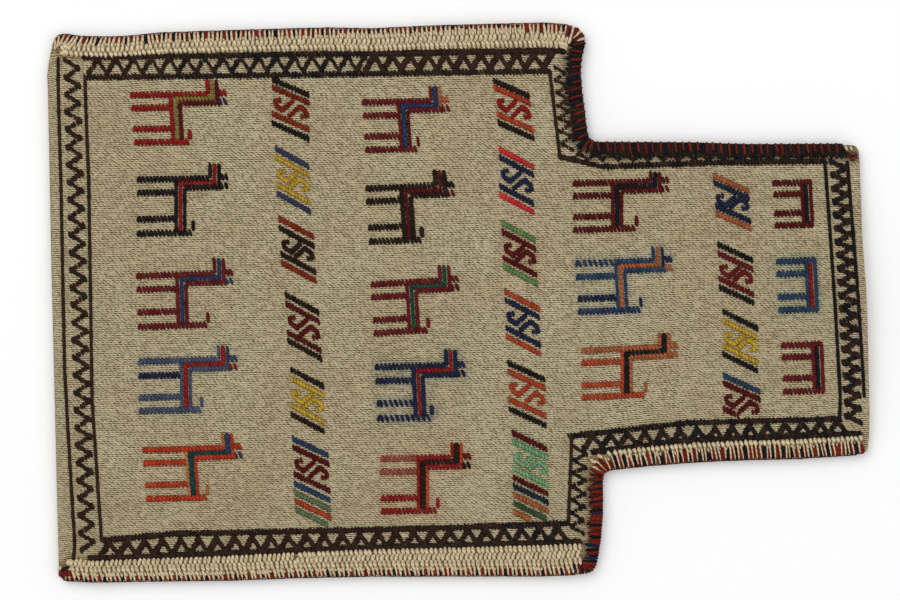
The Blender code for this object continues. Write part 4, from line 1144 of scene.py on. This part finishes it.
def build_figure(key, values):
    """A four-legged figure without a head: two body stripes and a core."""
    x, y, drop_2, drop_3, drop_4, body, lean, rise, outline, core = values
    name = "figure_" + key
    place = local_frame(x, y, lean, rise)
    wool = Wool(seed_of(name))
    legs = (0.0, drop_2, drop_2 + drop_3, drop_2 + drop_3 + drop_4)
    for number, leg in enumerate(legs):
        reach = body + 6.2 if number in (0, 3) else body - 0.9
        run_along(wool, place, 0.0, reach, leg, outline, True)
    line_across(wool, place, body, -1.2, legs[3] + 0.6, outline)
    line_across(wool, place, body + BODY_GAP, -1.2, legs[3] + 0.6, outline)
    line_across(wool, place, body + 2.6, 0.4, legs[3] - 1.0, core, 2.9)
    finish_piece(wool, name)


def build_hook(key, values):
    """A hooked motif: slanted bars, and a hook on each of the two inner ones."""
    x, y, drop_2, drop_3, drop_4, length, slope, lean, top, inner, hook, low, bottom = values
    name = "hook_" + key
    place = local_frame(x, y, lean, -slope)
    wool = Wool(seed_of(name))
    level_3 = drop_2 + drop_3
    last = level_3 + drop_4

    def bar(level, colour, share=1.0):
        bar_between(wool, place(0.0, level), place(length * share, level), colour)

    bar(0.0, top)
    bar(drop_2, inner)
    bar(level_3, low, LOW_BAR_SHARES.get(key, 1.0))
    for right, down, turn in ((0.0, drop_2, 1.0), (length + 0.6, level_3, -1.0)):
        points = [place(right + turn * a, down + turn * b) for a, b in HOOK_SHAPE]
        for a, b, size in zip(points, points[1:], HOOK_SIZES):
            bar_between(wool, a, b, hook, HOOK_PITCH, size)
    if drop_4 > 0.0:
        bar(last, bottom)
    for drop, share, colour in EXTRA_BARS.get(key, []):
        bar(last + drop, colour, share)
    finish_piece(wool, name)


def zigzag_points(start, end, half_height, pitch):
    """The turns of a zigzag."""
    start = Vector(start)
    end = Vector(end)
    along = (end - start).normalized()
    across = Vector((-along.y, along.x)) * half_height
    steps = max(4, round((end - start).length / (pitch / 2.0)))
    return [start.lerp(end, i / steps) + (across if i % 2 else -across) for i in range(steps + 1)]


def rope(wool, chain, colour):
    """Overlapping stitches laid along a chain."""
    points = chain_points(chain, ROPE_PITCH)
    for a, b in zip(points, points[1:]):
        along = (b - a).normalized()
        lean = Vector((-along.y, along.x)) * wool.random.uniform(-ROPE_SPREAD, ROPE_SPREAD)
        middle = (a + b) / 2.0
        half = along * ROPE_SIZE / 2.0
        wool.stitch(middle - half - lean, middle + half + lean, colour, ROPE_WIDTH, 1.5, 0.25, 0.35)


def border_wool(wool, point):
    """The border is brown in long stretches, and mixed with black and a little navy elsewhere."""
    if point.y > 0.0:
        brown = point.x < BROWN_TOP_END or BROWN_TOP_AGAIN < point.x < BROWN_TOP_LAST
    else:
        brown = point.x < BROWN_BOTTOM_END
    pick = wool.random.random()
    if brown:
        return "bark" if pick < 0.8 else "umber"
    if pick < 0.12:
        return "ink"
    return "black" if pick < 0.55 else "bark"


def build_border():
    """Dark lines and zigzags."""
    wool = Wool(BORDER_SEED)
    for chain in LINES_ACROSS:
        rope(wool, chain, border_wool(wool, Vector(chain[0])))
    for width, chain in LINES_ALONG:
        for point in chain_points(chain, ALONG_PITCH):
            half = Vector(ALONG_HALF) * wool.random.uniform(0.8, 1.15)
            wool.stitch(point - half, point + half, border_wool(wool, point), width)
    for start, end, half_height, pitch, stitch_size, width in ZIGZAGS:
        points = zigzag_points(start, end, half_height, pitch)
        for a, b in zip(points, points[1:]):
            zigzag_stroke(wool, a, b, stitch_size, width)
    finish_piece(wool, "border")


def zigzag_stroke(wool, a, b, size, width):
    """One leg of a zigzag: short slanted stitches stepped along it, with a knot at the turn."""
    steps = max(3, round((b - a).length / ZIGZAG_STEP))
    for i in range(steps + 1):
        jolt = Vector([wool.random.uniform(-ZIGZAG_JOLT, ZIGZAG_JOLT) for _ in range(2)])
        middle = a.lerp(b, i / steps) + jolt
        grow = TURN_GROWTH if i in (0, steps) else 1.0
        half = Vector(ZIGZAG_HALF) * size * grow * wool.random.uniform(0.42, 0.58)
        wool.stitch(middle - half, middle + half, border_wool(wool, middle), width * grow)


def finish_piece(wool, node):
    """Make the mesh, tie it to the frame and hide the plain node it stands for."""
    MARKS[node] = np.asarray(wool.vertices)[::2]
    item = wool.build(node + "_wool")
    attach(item, "root")
    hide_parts(node)


def build_selvedge(name, chain, side, start, end):
    """Cream selvedge: rows of plump stitches and a fringe round the edge with red and navy between."""
    depths, fringe, strand_width, tip_width = SELVEDGES[name]
    wool = Wool(len(name) * 7)
    jitter = wool.random.uniform
    stretch = part_of(chain, start, end)
    edge_cord(wool, stretch, side)
    frames = edge_frame(stretch, SELVEDGE_PITCH, side)
    count = len(frames)
    for i, (edge, inward, along) in enumerate(frames):
        depth = depths[0] + (depths[1] - depths[0]) * i / (count - 1)
        rows = max(1, round((depth - fringe) / ROW_SIZE))
        row_size = (depth - fringe) / rows
        lean = at(STRAND_LEANS[name], edge.x)
        spot = edge + along * jitter(-0.7, 0.7)
        width = strand_width * jitter(0.8, 1.2)
        slant = lean + jitter(-1.0, 1.0)
        wrap_stitch(wool, spot, inward, along, fringe + 1.0, "cream", width, slant, flare=0.78)
        middle = edge + along * (SELVEDGE_PITCH / 2.0 + jitter(-0.4, 0.4))
        colour = ("brick", "ink")[i % 2] if jitter(0.0, 1.0) < 0.8 else "brick"
        reach = at(TIP_DEPTHS[name], edge.x) * jitter(0.7, 1.2)
        width = tip_width * jitter(0.7, 1.25)
        slant_in = lean * 0.7
        wrap_stitch(wool, middle, inward, along, reach, colour, width, slant_in, lift=-0.25, flare=1.3)
        under = middle + along * jitter(-0.3, 0.3)
        width = strand_width * 0.9
        wrap_stitch(wool, under, inward, along, fringe, "cream", width, slant, lift=-0.55, flare=0.8)
        for row in range(rows):
            low = fringe - 0.6 + row * row_size
            shift = (SELVEDGE_PITCH / 2.0 if row % 2 == 0 else 0.0) + jitter(-0.3, 0.3)
            slant = (0.75 if row % 2 else -0.6) + jitter(-0.3, 0.3)
            a = edge + inward * low + along * (shift - slant)
            b = edge + inward * (low + row_size + jitter(0.5, 1.2)) + along * (shift + slant)
            wool.stitch(a, b, "cream", 2.75, 1.6, 0.45, 0.5)
    if name == "selvedge_bottom":
        corner_knob(wool)
    finish_piece(wool, name)


def edge_cord(wool, stretch, side):
    """The dark thread that lies along the very edge, past the ends of the wrapped strands."""
    for edge, inward, along in edge_frame(stretch, CORD_STEP, side)[1:-1]:
        inner = edge + inward * 1.0
        top = float(HEIGHTS.front(inner.x, inner.y))
        low = float(HEIGHTS.back(inner.x, inner.y))
        path = []
        for share in (-0.6, -0.2, 0.2, 0.6):
            spot = edge + along * CORD_STEP * share - inward * CORD_OUT
            path.append((spot.x, spot.y, low + (top - low) * 0.58))
        colour = wool.random.choice(("maroon", "ink", "umber", "maroon"))
        wide = CORD_SIZE * wool.random.uniform(0.85, 1.1)
        wool.tube(path, [wide * 0.8, wide, wide, wide * 0.8], [wide] * 4, colour)


def corner_knob(wool):
    """The brown-red knot where the lower side starts at the fold."""
    middle = Vector(CORNER_KNOB)
    for i in range(5):
        spot = middle + Vector((-3.0 + i * 1.5, -0.7))
        half = Vector((0.5, 2.9 - abs(i - 2) * 0.5))
        wool.stitch(spot - half, spot + half, ("brick", "maroon")[i % 2], 2.7, 2.4, 1.0, 1.0)
    for i in range(3):
        spot = middle + Vector((-1.0 + i * 1.3, 2.2 + i * 0.5))
        half = Vector((1.7, 0.7))
        wool.stitch(spot - half, spot + half, "umber", 2.2, 2.2, 1.3, 1.0)


def wrap_stitch(wool, edge, inward, along, reach, colour, width, slant=0.0, out=0.95, lift=0.0, flare=1.0):
    """A stitch that starts inside the edge, goes round it and ends under the back.

    flare is its width at the edge as a share of its width inside.
    """
    jitter = wool.random.uniform
    reach *= jitter(0.94, 1.06)
    out += jitter(-0.2, 0.2)
    lean = along * slant
    points = []
    for share, rise in WRAP_FRONT:
        spot = edge + inward * reach * share + lean * share
        points.append((spot.x, spot.y, float(HEIGHTS.front(spot.x, spot.y)) + rise + lift))
    inner = edge + inward * 1.0
    rim_top = float(HEIGHTS.front(inner.x, inner.y))
    rim_back = float(HEIGHTS.back(inner.x, inner.y))
    for outward, share in WRAP_RIM:
        spot = edge - inward * out * outward
        points.append((spot.x, spot.y, rim_back - 0.6 + (rim_top + 1.8 - rim_back) * share))
    for share, drop in WRAP_BACK:
        spot = edge + inward * UNDER_REACH * share
        points.append((spot.x, spot.y, float(HEIGHTS.back(spot.x, spot.y)) - drop))
    widths = [width * share for share in WRAP_WIDTHS]
    widths = [wide * (1.0 + (flare - 1.0) * min(1.0, i / 3.0)) for i, wide in enumerate(widths)]
    heights = [WRAP_HEIGHT * share for share in WRAP_HEIGHTS]
    wool.tube(points, widths, heights, colour)


def build_dark_seam(name, start, end, reaches, slant):
    """Dark overcast seam with thin red stitches laid over it at a wider step."""
    wool = Wool(len(name) * 3 + 1)
    jitter = wool.random.uniform
    frames = edge_frame(part_of(UPPER_SIDE, start, end), DARK_PITCH, 1.0)
    for i, (edge, inward, along) in enumerate(frames):
        full = reaches[0] + (reaches[1] - reaches[0]) * i / (len(frames) - 1)
        colour = wool.random.choice(("ink", "ink", "black", "bark", "umber"))
        width = jitter(2.1, 2.6)
        reach = full * jitter(0.8, 1.12)
        wrap_stitch(wool, edge, inward, along, reach, colour, width, jitter(-0.5, 0.9), 1.25)
        if i % 3 == 1:
            spot = edge + along * jitter(-0.8, 0.8)
            reach = full * jitter(0.5, 0.9)
            red_over(wool, spot, inward, along, reach, slant * jitter(0.3, 1.7), jitter(0.8, 1.35))
    if name == "shoulder_seam_top":
        for i, (edge, inward, along) in enumerate(frames[:9]):
            colour = ("brick", "navy", "cream")[i % 3]
            wrap_stitch(wool, edge, inward, along, jitter(5.0, 9.0), colour, 2.2, 0.6, 1.35, 0.5)
    if name == "neck_seam_top":
        mouth_corner(wool)
    finish_piece(wool, name)


def red_over(wool, edge, inward, along, reach, slant, size):
    """A thin red stitch on top of the dark ones."""
    points = []
    for share, lift in RED_FRONT:
        spot = edge + inward * reach * share + along * (slant * share)
        points.append((spot.x, spot.y, float(HEIGHTS.front(spot.x, spot.y)) + lift))
    top = float(HEIGHTS.front(edge.x, edge.y))
    low = float(HEIGHTS.back(edge.x, edge.y))
    rim = edge - inward * 1.6
    for share in (0.85, 0.3):
        points.append((rim.x, rim.y, low + (top + 0.6 - low) * share))
    under = edge + inward * 2.0
    points.append((under.x, under.y, low - 0.9))
    widths = [size * share for share in RED_WIDTHS]
    wool.tube(points, widths, RED_HEIGHTS, "brick")


def mouth_corner(wool):
    """The stray stitches by the upper corner of the mouth."""
    for a, b, colour in MOUTH_STITCHES:
        wool.stitch(Vector(a), Vector(b), colour, 1.9, 1.6, 0.5, 0.6)


def build_bright_seam(name, start, end, reach):
    """Overcast seam of red and navy stitches by turns."""
    wool = Wool(len(name))
    jitter = wool.random.uniform
    frames = edge_frame(part_of(LOWER_SIDE, start, end), BRIGHT_PITCH, -1.0)
    for i, (edge, inward, along) in enumerate(frames):
        red = jitter(0.0, 1.0) < (0.85 if i % 2 == 0 else 0.15)
        width = jitter(2.2, 3.0) if red else jitter(1.8, 2.4)
        lift = 0.3 if red else 0.0
        slant = jitter(-2.2, 0.2)
        colour = "brick" if red else wool.random.choice(("ink", "navy", "maroon"))
        wrap_stitch(wool, edge, inward, along, reach * jitter(0.7, 1.15), colour, width, slant, 1.25, lift)
    finish_piece(wool, name)


def build_floor():
    """Plain pale floor just under the bag."""
    mesh = bpy.data.meshes.new("floor")
    corners = [(x * FLOOR_HALF, y * FLOOR_HALF, 0.0) for x, y in ((-1, -1), (1, -1), (1, 1), (-1, 1))]
    mesh.from_pydata(corners, [], [(0, 1, 2, 3)])
    floor = bpy.data.objects.new("floor", mesh)
    bpy.context.scene.collection.objects.link(floor)
    floor.location.z = CAD_BOUNDS[0][2] - FLOOR_GAP
    material = bpy.data.materials.new("floor")
    material.use_nodes = True
    shader = material.node_tree.nodes["Principled BSDF"]
    shader.inputs["Base Color"].default_value = (FLOOR_SHADE, FLOOR_SHADE, FLOOR_SHADE, 1.0)
    shader.inputs["Roughness"].default_value = 1.0
    shader.inputs["Specular IOR Level"].default_value = 0.0
    mesh.materials.append(material)


def build_stage():
    """Floor, lamps, world and camera."""
    scene = bpy.context.scene
    scene.view_settings.view_transform = "Standard"
    build_floor()
    world = bpy.data.worlds.new("world")
    scene.world = world
    world.use_nodes = True
    background = world.node_tree.nodes["Background"]
    background.inputs["Color"].default_value = (1.0, 1.0, 1.0, 1.0)
    background.inputs["Strength"].default_value = WORLD_STRENGTH
    for name, location, energy, size in LAMPS:
        light = bpy.data.lights.new(name, "AREA")
        light.energy = energy
        light.size = size
        lamp = bpy.data.objects.new(name, light)
        lamp.location = location
        lamp.rotation_euler = (-Vector(location)).to_track_quat("-Z", "Y").to_euler()
        scene.collection.objects.link(lamp)
    camera_data = bpy.data.cameras.new("camera")
    camera_data.lens = LENS
    camera_data.sensor_width = SENSOR
    camera = bpy.data.objects.new("camera", camera_data)
    distance = PICTURE_WIDTH * PICTURE_MM * MM * LENS / SENSOR
    camera.location = (SHIFT_X * MM, SHIFT_Y * MM, CAMERA_BASE + distance)
    scene.collection.objects.link(camera)
    scene.camera = camera


def build_bag():
    """All the wool first, because the cloth's dye stains and painted shade follow it, then the cloth."""
    build_border()
    for key, values in GOATS.items():
        build_goat(key, values)
    for key, values in FIGURES.items():
        build_figure(key, values)
    for key, values in HOOKS.items():
        build_hook(key, values)
    build_selvedge("selvedge_top", UPPER_SIDE, 1.0, 2.0, UPPER_CORNER)
    build_selvedge("selvedge_bottom", LOWER_SIDE, -1.0, 5.0, LOWER_CORNER)
    build_selvedge("selvedge_neck", LOWER_SIDE, -1.0, LOWER_CONCAVE, -6.0)
    build_dark_seam("shoulder_seam_top", UPPER_CORNER - 2.0, UPPER_CONCAVE, (9.0, 10.5), 1.6)
    build_dark_seam("neck_seam_top", UPPER_CONCAVE, -12.0, (9.5, 8.6), 1.0)
    build_bright_seam("shoulder_seam_bottom", LOWER_CORNER - 3.0, LOWER_CONCAVE + 4.0, 8.6)
    cloth = build_cloth()
    pieces = [build_inside(), build_edges()]
    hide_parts("cloth")


build_stage()
build_bag()
